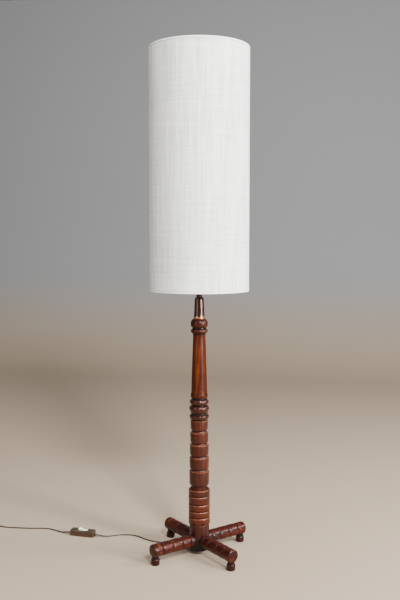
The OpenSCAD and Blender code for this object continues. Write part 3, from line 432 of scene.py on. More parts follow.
def bands(height, spots):  # near() over every (at, reach, fade)
    return sum(near(height, *spot) for spot in spots)


def above(height, at, fade):  # 0 up to a height in metres, 1 from fade past it
    return (height - at).step(0.0, fade)


def below(height, at, fade):
    return (at - height).step(0.0, fade)


def woodFinish(name, turn, seed, tones, stainAndShade, roughness, coat, contrast=1.0):
    # turn is None where the grain runs up, or a leg's turn; the stain-and-shade function gives
    # (mask, colour) pairs: stain and wear, painted shade in grooves and under edges, and painted
    # highlights on rims
    finish = Finish(name, Specular_IOR_Level=0.17, Coat_Weight=coat, Coat_Roughness=0.1)
    x, y, z = finish.place(-turn if turn else 0.0)
    along, a, b = (z, x, y) if turn is None else (x, y, z)

    def grown(part, shift):
        across, up, detail, rough = grain[part]
        return finish.noise(a * across, b * across, along * up + shift, detail, rough)

    warp = grown("warp", seed) - 0.5
    pithA, pithB = [side + warp * wander + off
                    for side, wander, off in zip((a, b), pith["wander"], pith["off"])]
    rings = ((pithA * pithA + pithB * pithB) ** 0.5 * pith["rings"] + seed).sin() * 0.5 + 0.5
    fibres, figure, pores, lathe = [grown(part, shift) for part, shift in (
        ("fibres", seed), ("figure", seed * 3), ("pores", seed), ("lathe", 0.0))]
    wide, tall, detail, rough = grain["smear"]
    smear = finish.noise(x * wide, y * wide, z * tall + seed, detail, rough)
    streaks = (rings - 0.5) * 0.2 + (fibres - 0.5) * 1.3 + (figure - 0.5) * 0.7
    tone = streaks * contrast + (smear - 0.5) * 0.7 + 0.5
    colour = tone.step(0.12, 0.62).mix(tones["deep"], tones["middle"])
    colour = tone.step(0.52, 0.98).mix(colour, tones["warm"])
    colour = (pores.step(0.55, 0.68) * 0.5).mix(colour, tones["deep"])
    for mask, shade in stainAndShade(finish, x, y, z):
        colour = mask.clamp().mix(colour, shade)
    finish.set("Base Color", colour)
    finish.set("Roughness", smear * 0.22 + pores.step(0.5, 0.75) * 0.12 + (1 - tone.clamp()) * 0.08
               + (roughness - 0.16))
    finish.bump(fibres * 0.5 + pores * 0.5 + lathe * 0.55, 0.16, 0.0005)
    return finish


def stackHeights(f):  # lower and upper edges of the rings and drums, in mm
    low, high, z = [], [], f["hubTop"] + f["ringGap"]
    waist = f["waistH"] - f["ringGap"]
    for stack, gap, after in ((f["ringH"], f["ringGap"], waist), (f["drumH"], f["grooveH"], 0)):
        for tall in stack:
            low.append(z)
            high.append(z + tall)
            z += tall + gap
        z += after
    return low, high


lowerMarks = {  # near()'s at, reach and fade in mm, or at and fade in metres
    "under": [(430, 1.6, 1.6), (451, 3.4, 2.4), (478, 1.8, 2.4), (498.4, 2.2, 2.2)],
    "grooveShade": (1.0, 1.8), "wornAndLit": (0.9, 1.6), "collar": (0.428, 0.006), "amberFrom": (0.1, 0.012),
    "amberTo": (0.2, 0.04), "hub": (0.0975, 0.002), "foot": (0.09, 0.05), "shadow": (0.062, 0.026)}


def lowerStainAndShade(finish, x, y, z):
    low, high = stackHeights(postLower)
    marks, rings = lowerMarks, len(postLower["ringH"])
    # painted shade: near-black bands in the groove under each ring's and drum's lower edge, and
    # under the collar's beads
    grooveShade = bands(z, [(at - (1.0 if i < rings else 0.2), *marks["grooveShade"])
                       for i, at in enumerate(low)])
    # lighter bands on the rings' and drums' upper rims and the hub's top edge: partly wear, partly
    # a painted highlight where the rims face the light
    wornAndLit = bands(z, [(at - (2.0 if i < rings - 1 else 10.0 if i < rings else 0.3), *marks["wornAndLit"])
                     for i, at in enumerate(high)] + [(postLower["hubTop"] - 0.8, 0.8, 1.2)])
    rubbed = finish.noise(x * 70, y * 70, z * 40, 3).step(0.3, 0.7) * 0.6 + 0.35
    collar = above(z, *marks["collar"]) * 0.55
    amber = below(z, *marks["amberTo"]) * above(z, *marks["amberFrom"]) * 0.4
    # the foot mark is painted shade, darker towards the bottom of the hub, and the shadow mark
    # under it a near-black painted shadow
    hub, foot = below(z, *marks["hub"]) * 0.6, below(z, *marks["foot"]) * 0.75
    return [(amber, rgb(76, 27, 6)), (collar, rgb(44, 16, 7)),
            (grooveShade * 0.8 + bands(z, marks["under"]) * 0.92, rgb(10, 3, 2)),
            (wornAndLit * rubbed * 0.6, rgb(128, 76, 52)), (hub, rgb(36, 9, 3)), (foot, rgb(26, 6, 3)),
            (below(z, *marks["shadow"]), rgb(5, 2, 2))]


upperMarks = {"under": [(499.6, 2.0, 2.0), (719.2, 1.4, 2.4)], "neck": (702.0, 1.6, 2.6),
              "band": (513.4, 0.4, 1.4), "beads": (0.699, 0.005), "foot": (0.53, 0.03)}


def upperStainAndShade(finish, x, y, z):
    marks = upperMarks
    # painted shade: near-black bands in the grooves at the foot of the taper and between the beads,
    # at the neck under the thin bead, and a fainter one at the band's top edge
    under = bands(z, marks["under"]) + near(z, *marks["neck"]) * 0.7 + near(z, *marks["band"]) * 0.5
    beads, foot = above(z, *marks["beads"]) * 0.72, below(z, *marks["foot"]) * 0.3
    return [(foot, rgb(60, 18, 5)), (beads, rgb(46, 16, 7)), (under, rgb(12, 4, 2))]


postLower = {"hubD": 63, "hubBottom": 14, "hubTop": 96.4, "hubRound": 1.5, "ringD": 68,
             "ringH": [20.9, 18.7, 19.7, 23.6, 27.2], "ringGap": 2.2, "ringGrooveD": 60,
             "ringLow": (1.6, 2), "ringHigh": (2.6, 4.5), "shoulderH": 9.5,
             "shoulderRound": (1, 1.5), "waistD": 49, "waistH": 4.5,
             "drumH": [46, 37, 35.4, 33.8, 32.4], "lowD": [62.4, 60.8, 59.6, 56.8, 53.8],
             "highD": [63.4, 62.2, 60.2, 57.4, 55.8], "grooveD": [51.3, 51.5, 48, 45.7, 45.7],
             "grooveH": 5.6, "drumLow": (4, 6.5), "drumHigh": (1, 1), "grooveLand": 1.1,
             "collarGap": 2.5, "collarD": 61.5, "collarH": 15.5, "widest": 0.7, "neckD": 53.5,
             "neckH": 8.1, "beadD": 62.8, "beadH": 21.4, "beadLip": 1.6, "beadGap": 2.9,
             "beadWidest": 0.55,
             "topRingD": 59.6, "topRingH": 16.6, "collarGrooveD": 48, "collarGrooveH": 5,
             "counterboreR": 15, "counterboreTop": 34, "boreR": 6, "jointR": 13, "jointH": 30}


def lowerPost(f):
    hub, edge = f["hubD"] / 2, f["hubRound"]
    line = [(f["counterboreR"], f["hubBottom"]), (hub - 2, f["hubBottom"]),
            (hub - 0.5, f["hubBottom"] + 0.7), (hub, f["hubBottom"] + 2)]
    line += arcPoints((hub - edge, f["hubTop"] - edge), edge, edge, 0, 90, 5)
    z = f["hubTop"] + f["ringGap"]
    for i, high in enumerate(f["ringH"]):
        line += [(f["ringGrooveD"] / 2, z - f["ringGap"]), (f["ringGrooveD"] / 2, z)]
        if i < len(f["ringH"]) - 1:
            line += drumPoints(z, high, f["ringD"], f["ringD"], f["ringLow"], f["ringHigh"])
        else:
            line += drumPoints(z, high - f["shoulderH"], f["ringD"], f["ringD"],
                               f["ringLow"], f["shoulderRound"])
            line += [(f["waistD"] / 2 + 4, z + high - 4.6), (f["waistD"] / 2, z + high)]
        z += high + f["ringGap"]
    z += f["waistH"] - f["ringGap"]
    before = f["waistD"]
    drums = zip(f["drumH"], f["lowD"], f["highD"], f["grooveD"])
    for i, (high, lowD, highD, grooveD) in enumerate(drums):
        gap = f["collarGap"] if i == len(f["drumH"]) - 1 else f["grooveH"]
        cove = gap - f["grooveLand"]
        line += [(before / 2, z - 1), (before / 2, z)]
        line += drumPoints(z, high, lowD, highD, f["drumLow"], f["drumHigh"])
        line += arcPoints((highD / 2 - f["drumHigh"][0], z + high + cove),
                          (highD - grooveD) / 2 - f["drumHigh"][0], cove, -90, -180, 6)
        before = grooveD
        z += high + gap
    root, neck, wide = before / 2 + 0.6, f["neckD"] / 2, z + f["collarH"] * f["widest"]
    out, top = f["collarD"] / 2, z + f["collarH"]
    line += [(root, z)] + arcPoints((root, wide), out - root, wide - z, -75, 0, 9)
    line += arcPoints((neck, wide + 0.8), out - neck, top - wide - 0.8, 0, 90, 7)
    bead, groove, tall = top + f["neckH"], f["collarGrooveD"] / 2, f["beadH"]
    line += [(neck, bead - f["beadLip"]), (neck + f["beadLip"], bead)]
    line += arcPoints((groove, bead + tall * f["beadWidest"]), f["beadD"] / 2 - groove,
                      tall * (1 - f["beadWidest"]), 0, 90, 8)
    ring = bead + tall + f["beadGap"]
    line += [(groove, ring)]
    line += beadPoints(ring, f["topRingH"], f["collarGrooveD"], f["topRingD"], 14)
    top = ring + f["topRingH"] + f["collarGrooveH"] / 2
    line += [(groove, top), (f["jointR"], top), (f["boreR"], top - f["jointH"])]
    return line + [(f["boreR"], f["counterboreTop"]), (f["counterboreR"], f["counterboreTop"])]


postUpper = {"bottom": 498.5, "grooveD": 48, "flareZ": 501, "flareD": 54.2, "bandH": 12,
             "bandRound": 1.5, "bandStep": 1.2, "bandRise": 12.4, "flareH": 30, "lowD": 49.6,
             "highD": 38.6, "taperH": 165, "swell": 0.2, "neckH": 9, "thinD": 53.2,
             "thinH": 12.5, "beadGrooveD": 43.5, "beadGrooveH": 3.5, "beadD": 54, "beadH": 28.5,
             "beadWidest": 0.456, "beadSlope": 13, "slopeEnd": 72, "boreR": 6, "jointR": 13}


def upperPost(f):
    groove, low, high = f["grooveD"] / 2, f["lowD"] / 2, f["highD"] / 2
    line = [(f["jointR"], f["bottom"]), (groove, f["bottom"]), (groove, f["flareZ"])]
    edge, band = (f["bandRound"], f["bandRound"]), f["flareZ"] + f["bandRise"]
    line += drumPoints(f["flareZ"], f["bandH"], f["flareD"] - 0.6, f["flareD"], edge, edge)
    for i in range(9):
        t = i / 8
        line.append((low + (f["flareD"] / 2 - low - f["bandStep"]) * (1 - t) ** 2,
                     band + (f["flareH"] - f["bandRise"]) * t))
    taper = f["flareZ"] + f["flareH"]
    for i in range(1, 17):
        t = i / 16
        line.append((low + (high - low) * t + f["swell"] * math.sin(math.pi * t),
                     taper + f["taperH"] * t))
    thin = taper + f["taperH"] + f["neckH"]
    line += [(high + 0.9, thin - f["neckH"] / 2), (high + 2, thin)]
    line += beadPoints(thin, f["thinH"], f["beadGrooveD"], f["thinD"])
    bead = thin + f["thinH"] + f["beadGrooveH"]
    groove, head = f["beadGrooveD"] / 2, bead + f["beadH"]
    wide = bead + f["beadH"] * f["beadWidest"]
    line += [(groove, bead)]
    line += arcPoints((groove - 2, wide), f["beadD"] / 2 - groove + 2, wide - bead, -75, 0, 10)
    line += arcPoints((f["beadD"] / 2 - f["beadSlope"], wide), f["beadSlope"],
                      (head - wide) / math.sin(math.radians(f["slopeEnd"])), 0, f["slopeEnd"], 10)
    return line + [(f["boreR"], head), (f["boreR"], f["bottom"])]


lowerWood = woodFinish("ringedPostWood", None, 4.0, drumTones, lowerStainAndShade,
                       roughness=0.3, coat=0.36, contrast=0.75)
upperWood = woodFinish("taperedPostWood", None, 5.4, taperTones, upperStainAndShade,
                       roughness=0.36, coat=0.08, contrast=1.05)
lower = turned("ringedPost", lowerPost(postLower), closed=True)
upper = turned("taperedPost", upperPost(postUpper), closed=True)
show(lower, lowerWood, "stand", "dark_wood", "lower_column")
show(upper, upperWood, "stand", "dark_wood", "upper_column")
print("stage: post turned")


# legs and feet

legFacts = {"d": 40, "axisZ": 45, "hubR": 31.6, "tip": 177, "grooves": [41, 72, 109, 146],
            "grooveW": 4.6, "grooveDeep": 2.0, "bulge": 0.5, "endRound": 5, "footAt": 165,
            "footHole": 10.8, "footHoleZ": (20, 28), "start": 14, "firstEdge": 20}
legTurns = {"front_left": 225, "front_right": 315, "back_left": 135, "back_right": 45}


def legOutline(f):
    r, deep, edge = f["d"] / 2, f["grooveDeep"], f["endRound"]
    line = [(0.0, f["start"]), (r, f["start"])]
    edges = [f["firstEdge"]] + f["grooves"] + [f["tip"]]
    for here, there in zip(edges, edges[1:]):
        first = here + (f["grooveW"] / 2 if here > f["firstEdge"] else 0)
        final = there - (f["grooveW"] / 2 if there < f["tip"] else edge)
        for i in range(7):
            t = i / 6
            line.append((r - f["bulge"] * (2 * t - 1) ** 2, first + (final - first) * t))
        if there < f["tip"]:
            line += [(r - deep * share, there + off)
                     for share, off in ((0.7, -0.9), (1, -0.3), (1, 0.3), (0.7, 0.9))]
    line += arcPoints((r - edge, f["tip"] - edge), edge, edge, 8, 90, 8)
    return line + [(r * 0.4, f["tip"] + 0.1), (0.0, f["tip"])]


def makeLeg(f):
    leg = moved(turned("leg", legOutline(f), steps=72), (0, 0, f["axisZ"]), 90, "Y")
    cut(leg, rod(f["hubR"], 2 * f["d"], (0, 0, f["axisZ"]), sides=128))  # it meets the round hub
    low, high = f["footHoleZ"]  # and the foot's neck
    cut(leg, rod(f["footHole"], high - low, (f["footAt"], 0, (low + high) / 2), sides=48))
    return settle(leg, 40)


legMarks = {"grooveShade": (0.9, 1.4), "wornAndLit": (0.5, 1.0), "besides": (-3.4, 3.4),
            "root": (0.05, 0.02), "chipsAndGlint": (0.15, 0.006), "end": (0.1755, 0.001)}


def legStainAndShade(finish, x, y, z):  # x runs along the leg here
    marks, grooves = legMarks, legFacts["grooves"]
    # painted shade: a near-black band in each groove
    grooveShade = bands(x, [(at, *marks["grooveShade"]) for at in grooves])
    # lighter bands beside each groove: partly wear, partly a painted highlight on the groove's
    # edges
    wornAndLit = bands(x, [(at + off, *marks["wornAndLit"]) for at in grooves for off in marks["besides"]])
    rubbed = finish.noise(x, y, z, 3, scale=60).step(0.45, 0.7) * 0.5
    chipped = finish.noise(x, y, z, 3, scale=44).step(0.5, 0.62)
    scuffs = finish.noise(x, y, z, 4, scale=210).step(0.62, 0.7) * 0.5
    # root is painted shade where the leg meets the hub; end is the darker end grain
    root, end = below(x, *marks["root"]) * 0.6, above(x, *marks["end"]) * 0.6
    # lighter chipped patches near the tip, also standing in for a painted highlight on the leg's
    # end
    chipsAndGlint = above(x, *marks["chipsAndGlint"]) * chipped * 0.55
    return [(chipsAndGlint, rgb(122, 56, 24)), (scuffs + root + end, rgb(22, 6, 4)),
            (wornAndLit * rubbed, rgb(110, 50, 34)), (grooveShade * 0.9, rgb(9, 3, 3))]


def onCorners(kind, obj, tones, stainAndShade, seed, lying):  # a turned copy for each corner
    for corner, turn in legTurns.items():
        twin = moved(added(f"{kind}_{corner}_turned", obj.data.copy()), turn=turn)
        wood = woodFinish(f"{kind}Wood_{corner}", math.radians(turn) if lying else None,
                          turn * seed, tones, stainAndShade, roughness=0.38, coat=0.15)
        show(twin, wood, "stand", "leg_wood", f"{kind}_{corner}")
    bpy.data.objects.remove(obj)


onCorners("leg", makeLeg(legFacts), legTones, legStainAndShade, 0.13, True)

footFacts = {"d": 27, "h": 20, "low": (3, 5), "high": (2.8, 5), "neckD": 21.4, "neckTop": 28,
             "shadedNeck": (0.019, 0.002), "shadedSole": (0.003, 0.003)}


def footOutline(f):
    line = [(0.0, 0.0)] + drumPoints(0, f["h"], f["d"], f["d"], f["low"], f["high"], 8)
    neck = f["neckD"] / 2
    return line + [(neck, f["h"] + 0.5), (neck, f["neckTop"]), (0.0, f["neckTop"])]


def footShade(finish, x, y, z):
    # painted shade: the neck under the leg and the sole at the floor go near black
    dark = above(z, *footFacts["shadedNeck"]) * 0.85 + below(z, *footFacts["shadedSole"])
    return [(dark, rgb(12, 5, 4))]


foot = moved(turned("foot", footOutline(footFacts), steps=64), (legFacts["footAt"], 0, 0))
onCorners("foot", foot, footTones, footShade, 0.31, False)
print("stage: legs and feet")


# bronzed ferrule and neck

ferruleFacts = {"z": 749.5, "h": 67.5, "lowD": 34.4, "highD": 29.2, "wall": 1.6, "hole": 5.1,
                "shoulder": (5, 9), "copperFoot": (0.7578, 0.0012)}


def ferruleOutline(f):
    z, top, low, high = f["z"], f["z"] + f["h"], f["lowD"] / 2, f["highD"] / 2
    wide, tall = f["shoulder"]
    line = [(low - 1, z), (low - 0.2, z + 0.2), (low, z + 1), (low, z + 7.4), (low - 0.25, z + 8.2)]
    for i in range(1, 13):
        t = i / 12
        line.append((low - (low - high) * (0.32 + 0.68 * t), z + 9.5 + (f["h"] - 23.5) * t))
    line += arcPoints((high - wide, top - tall), wide, tall, 8, 70, 8)
    inner, hole = high - f["wall"], f["hole"]
    return line + [(high - 4.4, top), (hole, top), (hole, top - 1.5), (high - wide, top - 2),
                   (inner, top - 9.5), (inner, z)]


def bronzeFinish():
    finish = Finish("bronzedCopper", Metallic=1.0)
    x, y, z = finish.place()
    wear = finish.noise(x * 60, y * 60, z * 25, 4, 0.6)
    rub = finish.noise(x * 400, y * 400, z * 30, 2, 0.5)
    foot = below(z, *ferruleFacts["copperFoot"])
    dark = wear.mix(rgb(70, 54, 48), rgb(112, 88, 78))
    finish.set("Base Color", (foot * (wear * 0.4 + 0.6)).mix(dark, rgb(226, 158, 118)))
    finish.set("Roughness", wear * 0.14 + rub * 0.08 + 0.2)
    finish.bump(rub, 0.06, 0.0003)
    return finish


def darkMetalFinish():
    finish = Finish("blackenedBrass", Metallic=1.0)
    x, y, z = finish.place()
    haze = finish.noise(x * 120, y * 120, z * 40, 4, 0.6)
    finish.set("Base Color", haze.mix(rgb(44, 38, 36), rgb(78, 66, 60)))
    finish.set("Roughness", haze * 0.2 + 0.28)
    return finish


bronze = bronzeFinish()
darkMetal = darkMetalFinish()
ferrule = turned("bronzedFerrule", ferruleOutline(ferruleFacts), closed=True)
show(ferrule, bronze, "stand", "bronze", "ferrule")

neckFacts = {"z": 817, "h": 29, "d": 18.4, "bore": 10.2, "edge": (0.7, 0.7)}


def neckOutline(f):
    bore = f["bore"] / 2
    wall = drumPoints(f["z"], f["h"], f["d"], f["d"], f["edge"], f["edge"], 4)
    return [(bore, f["z"])] + wall + [(bore, f["z"] + f["h"])]


neck = turned("neckSleeve", neckOutline(neckFacts), steps=64, closed=True)
show(neck, darkMetal, "stand", "bronze", "neck_sleeve")
print("stage: ferrule and neck")


# shade: slubbed raw silk on a stiff liner

shadeFacts = {"r": 154.0, "z": 836.1, "h": 740, "cloth": 0.8, "hem": 5, "proud": 0.6,
              "inner": 147.65, "seamWide": 14, "seamAt": 97, "seamThick": 0.45,
              "arms": (90, 210, 330), "slit": 4.6, "hemShadow": (5.9, 0.4, 0.9), "threads": 5200}
weave = {  # noise: times round the shade, times up it, offset, detail, roughness
    "weft": (12, 560, 0.3, 3, 0.65), "warp": (520, 9, 4.1, 3, 0.65),
    "broadWeft": (7, 150, 6.3, 3, 0.6), "broadWarp": (130, 5, 2.7, 3, 0.6),
    "slubs": (22, 800, 8.7, 2, 0.5)}


def silkFinish(name, hem=False):
    finish = Finish(name, Roughness=0.75, Sheen_Weight=0.2, Sheen_Roughness=0.5)
    x, y, z = finish.place()
    around = finish.at.maths("ARCTAN2", x, y * -1) * shadeFacts["r"] * mm  # metres, 0 in front
    weft, warp, broadWeft, broadWarp, slubs = [
        finish.noise(around * across, z * up, shift, detail, rough)
        for across, up, shift, detail, rough in weave.values()]
    slubs = slubs.step(0.6, 0.72)
    fine = shadeFacts["threads"]
    threads = ((around * fine).sin() * (z * fine).sin()) * 0.5 + 0.5
    tone = ((weft - 0.5) * 1.1 + (warp - 0.5) * 1.5 + (broadWeft - 0.5) * 1.1
            + (broadWarp - 0.5) * 2.0 + 0.6).clamp()
    low, high = (rgb(201, 203, 200), rgb(246, 249, 248))
    if hem:
        low, high = (rgb(244, 245, 243), rgb(253, 254, 253))
    colour = (slubs * 0.4).mix(tone.mix(low, high), rgb(252, 250, 245))
    if not hem:  # a thin shadow where the cloth goes under each hem
        off, *soft = shadeFacts["hemShadow"]
        edges = (shadeFacts["z"] + off, shadeFacts["z"] + shadeFacts["h"] - off)
        shadow = bands(z, [(edge, *soft) for edge in edges]) * 0.6
        colour = shadow.mix(colour, rgb(128, 125, 120))
    finish.set("Base Color", colour)
    finish.bump(weft * 0.4 + warp * 0.4 + broadWarp * 0.3 + broadWeft * 0.3 + slubs * 0.4
                + threads * 0.2, 0.35, 0.0005)
    return finish


silk = silkFinish("rawSilk")
hemSilk = silkFinish("rawSilkHem", True)


def clothTube(f):
    bpy.ops.mesh.primitive_cylinder_add(
        vertices=192, radius=(f["r"] - f["cloth"]) * mm, depth=(f["h"] - 2 * f["cloth"]) * mm,
        end_fill_type="NOTHING", location=(0, 0, (f["z"] + f["h"] / 2) * mm))
    tube = bpy.context.object
    tube.name = "shadeCloth"
    facesOut()
    bpy.ops.object.transform_apply()
    modified(tube, "SOLIDIFY", thickness=f["cloth"] * mm, offset=1)
    smooth(40)
    return tube


def hemOutline(f, top):  # rolled over the ring wire and down inside; up is measured from the edge
    way, edge = (-1, f["z"] + f["h"]) if top else (1, f["z"])
    out, inside, hem, t = f["r"] + f["proud"], f["inner"], f["hem"], f["cloth"]
    line = [(f["r"] - 0.1, hem), (out - 0.25, hem + 0.1), (out, hem - 0.5), (out, 2.0),
            (out - 0.5, 0.7), (out - 1.9, 0), (inside + 1.8, 0), (inside + 0.5, 0.6), (inside, 1.9),
            (inside, hem - 0.2), (inside + t / 2, hem), (inside + t, hem - 0.2), (inside + t, 2.4),
            (inside + t + 0.9, t), (f["r"] - t - 0.9, t), (f["r"] - 0.1, 1.6)]
    line = [(r, edge + way * up) for r, up in line]
    return line[::-1] if top else line


def shadeHem(f, top):
    hem = turned("shadeHem" + ("Top" if top else "Bottom"), hemOutline(f, top), 192, closed=True)
    for arm in () if top else f["arms"]:  # a slit for each arm of the carrier
        slit = block("slit", (2.4, f["slit"], 8), (f["inner"] + 0.4, 0, f["z"] + 5.2))
        slit.rotation_euler = (0, 0, math.radians(arm))
        cut(hem, slit)
    return settle(hem, 40)


def shadeSeam(f):  # the lap at the back, a strip of the same cloth
    bpy.ops.mesh.primitive_grid_add(x_subdivisions=8, y_subdivisions=60, size=1)
    strip = bpy.context.object
    strip.name = "shadeSeam"
    strip.scale = (f["seamWide"] * mm, (f["h"] - 2 * f["hem"]) * mm, 1)
    bpy.ops.object.transform_apply()
    reach, middle = (f["r"] + 0.02) * mm, (f["z"] + f["h"] / 2) * mm
    for v in strip.data.vertices:
        a = math.radians(f["seamAt"]) + v.co.x / reach
        v.co = (reach * math.cos(a), reach * math.sin(a), v.co.y + middle)
    facesOut()
    if strip.data.polygons[0].normal.dot(strip.data.polygons[0].center) < 0:
        strip.data.flip_normals()
    modified(strip, "SOLIDIFY", thickness=f["seamThick"] * mm, offset=1)
    smooth(40)
    return strip


cloth = clothTube(shadeFacts)
hems = [shadeHem(shadeFacts, True), shadeHem(shadeFacts, False)]
seam = shadeSeam(shadeFacts)
for piece in hems:
    show(piece, hemSilk, "shade", "raw_silk")
show(cloth, silk, "shade", "raw_silk", "shade_cloth")
show(seam, silk, "shade", "raw_silk")
hems + [seam]
print("stage: shade")


# plain finishes for the smaller pieces

def plainFinish(name, low, high, roughness, grain=200, **constants):
    finish = Finish(name, **constants)
    x, y, z = finish.place()
    mottled = finish.noise(x, y, z, 4, 0.6, grain)
    specks = finish.noise(x, y, z, 2, 0.5, grain * 7)
    tone = (mottled * 0.7 + specks * 0.3).step(0.3, 0.7)
    finish.set("Base Color", tone.mix(rgb(*low), rgb(*high)))
    finish.set("Roughness", mottled * 0.15 + specks.step(0.5, 0.75) * 0.1 + (roughness - 0.1))
    finish.bump(mottled * 0.5 + specks * 0.5, 0.06, 0.0002)
    return finish


metal = {"grain": 300, "Metallic": 1.0}
goldBrown = plainFinish("goldBrownPlastic", (36, 24, 8), (60, 41, 15), 0.26, 260, Coat_Weight=0.4)
plain = {
    "steel": plainFinish("zincSteel", (140, 140, 142), (186, 186, 188), 0.32, **metal),
    "brass": plainFinish("yellowBrass", (176, 132, 62), (214, 172, 96), 0.3, **metal),
    "black_plastic": plainFinish("blackPhenolic", (12, 11, 10), (28, 25, 23), 0.36),
    "white_ceramic": plainFinish("glazedCeramic", (218, 213, 200), (238, 236, 228), 0.2),
    "opal_glass": plainFinish("opalGlass", (236, 235, 230), (246, 245, 242), 0.12, 60,
                              Coat_Weight=0.6),
    "bulb_metal": plainFinish("bulbAluminium", (170, 170, 172), (214, 214, 216), 0.34, **metal),
    "liner": plainFinish("styreneLiner", (230, 227, 218), (242, 240, 233), 0.5, 30),
    "white_wire": plainFinish("whitePowderCoat", (218, 216, 208), (238, 236, 230), 0.42),
    "cream_plastic": plainFinish("creamPlastic", (214, 222, 196), (238, 242, 222), 0.3, 120),
    "switch_brown": goldBrown, "cord_gold": goldBrown, "bronze": darkMetal, "raw_silk": silk,
    "dark_wood": upperWood, "leg_wood": upperWood,
}


# lampholder, bulb and their threads, turned like the post

def ridged(r, low, high, pitch, deep, steps=6):  # the outline of a thread, its crests at r
    count = round((high - low) / pitch * steps)
    return [(r - deep * (1 - math.cos(2 * math.pi * i / steps)) / 2, low + (high - low) * i / count)
            for i in range(count + 1)]


holderFacts = {"z": 846, "neckD": 23.4, "holeR": 5.1, "skirtZ": 871, "skirtD": 39, "wall": 2.2,
               "top": 918, "seatZ": 880, "seatT": 2, "seatD": 47, "pitch": 2.2, "deep": 0.35}
bulbFacts = {"capZ": 897, "capTop": 921, "capD": 26.4, "neckD": 25, "d": 60, "top": 1000,
             "pitch": 3.63, "deep": 0.7, "contactR": 11, "capWall": 0.65}


def holderCapOutline(f):
    neck, out, z, rim = f["neckD"] / 2, f["skirtD"] / 2, f["z"], f["skirtZ"]
    line = [(f["holeR"], z), (neck - 0.6, z), (neck, z + 0.6)]
    line += arcPoints((neck, rim - 4), out - neck, 19, -58, 0, 10)
    line += [(out - 0.5, rim - 3.2), (out - 0.5, rim - 2.6), (out, rim - 1.8), (out, rim),
             (out - 2, rim)]
    return line + arcPoints((neck - 2, rim - 4), out - neck, 17, 0, -58, 8) + [(f["holeR"], z + 2)]


def holderSkirtOutline(f):
    out = f["skirtD"] / 2
    seat, low, high = f["seatD"] / 2, f["seatZ"], f["seatZ"] + f["seatT"]
    line = [(out, f["skirtZ"]), (out, low - 0.4), (seat - 0.5, low), (seat, low + 0.5),
            (seat, high - 0.5), (seat - 0.5, high), (out, high)]
    line += ridged(out, low + 4, f["top"] - 3, f["pitch"], f["deep"])
    inner = out - f["wall"]
    return line + [(out - 0.2, f["top"] - 1), (out - 1, f["top"]), (inner, f["top"] - 0.4),
                   (inner, f["skirtZ"])]


def bulbGlassOutline(f):
    neck, r, centre, start = f["neckD"] / 2, f["d"] / 2, f["top"] - f["d"] / 2, f["capTop"] + 2
    line = [(0.0, f["capTop"] - 3), (neck, f["capTop"] - 3), (neck, start)]
    for i in range(1, 16):
        t = i / 16
        line.append((neck + (r * 0.94 - neck) * (1 - math.cos(math.pi * t)) / 2,
                     start + (centre - 12 - f["capTop"]) * t))
    line += arcPoints((0, centre), r, r, -14, 90, 26)[:-1]
    return line + [(0.0, f["top"])]


def bulbCapOutline(f):
    r, inner, low = f["capD"] / 2, f["capD"] / 2 - f["capWall"], f["capZ"]
    line = [(0.0, low), (f["contactR"], low), (r - 0.8, low + 1.6)]
    line += ridged(r, low + 2.6, f["capTop"] - 3, f["pitch"], f["deep"], 8)
    return line + [(r - 0.4, f["capTop"]), (inner, f["capTop"]), (inner, low + 1.5),
                   (0.0, low + 1.5)]


holder, bulb = ("stand", "black_plastic", True), ("bulb", "opal_glass", False)
for name, outline, (body, slot, closed), node in [
        ("holderBell", holderCapOutline(holderFacts), holder, "holder_cap"),
        ("holderThreadedSkirt", holderSkirtOutline(holderFacts), holder, "holder_skirt"),
        ("bulbGlobe", bulbGlassOutline(bulbFacts), bulb, "bulb_glass"),
        ("bulbThreadedCap", bulbCapOutline(bulbFacts), ("bulb", "bulb_metal", False), "bulb_cap")]:
    show(turned(name, outline, steps=80, closed=closed), plain[slot], body, slot, node)
print("stage: lampholder and bulb")


# switch and plug, shaped from blocks and outlines

def bevelEdges(obj, test, width, segments):  # test gets an edge's middle in mm and its direction
    select(obj)
    mode("EDIT")
    bpy.ops.mesh.select_mode(type="EDGE")
    bpy.ops.mesh.select_all(action="DESELECT")
    mode("OBJECT")
    for edge in obj.data.edges:
        a, b = [obj.data.vertices[i].co for i in edge.vertices]
        edge.select = bool(test((a + b) / 2 / mm, (b - a).normalized()))
    mode("EDIT")
    bpy.ops.mesh.bevel(offset=width * mm, segments=segments, affect="EDGES")
    bpy.ops.mesh.select_mode(type="VERT")
    mode("OBJECT")


def place(obj, at, turn):
    return settle(moved(obj, (*at, 0), turn), 38)


switchFacts = {"long": 85, "wide": 28, "high": 20.5, "split": 8.5, "seam": 0.35, "corner": 6,
               "edge": 2.4, "wall": 2.2, "rocker": (31, 13), "slotGap": (1.6, 0.8), "pinZ": 17.3,
               "pinD": 2.5, "tip": 8, "gland": (10.4, 4.5), "dish": (38, 17.6, 0.7)}


def switchHalf(f, name, low, high):
    half = block(name, (f["long"], f["wide"], high - low), (0, 0, (low + high) / 2))
    bevelEdges(half, lambda middle, way: abs(way.z) > 0.9, f["corner"], 6)
    for level in (low, high):
        soft = f["edge"] if level in (0, f["high"]) else f["seam"]
        bevelEdges(half, lambda middle, way: abs(middle.z - level) < 0.05 and abs(way.z) < 0.1,
                   soft, 4)
    floor, roof = (f["wall"], high + 1) if low == 0 else (low - 1, high - f["wall"])
    long, wide = f["long"] - 2 * f["wall"], f["wide"] - 2 * f["wall"]
    cut(half, block("room", (long, wide, roof - floor), (0, 0, (floor + roof) / 2)))
    hole = (cordFacts["thick"] / 2 + 0.5, cordFacts["wide"] / 2 + 0.5, 1)
    for side in (-1, 1):  # a flat way in for the cord at each end
        cut(half, rod(1, 30, (side * f["long"] / 2, 0, cordFacts["entryZ"]),
                      (0, math.pi / 2, 0), hole))
    return half


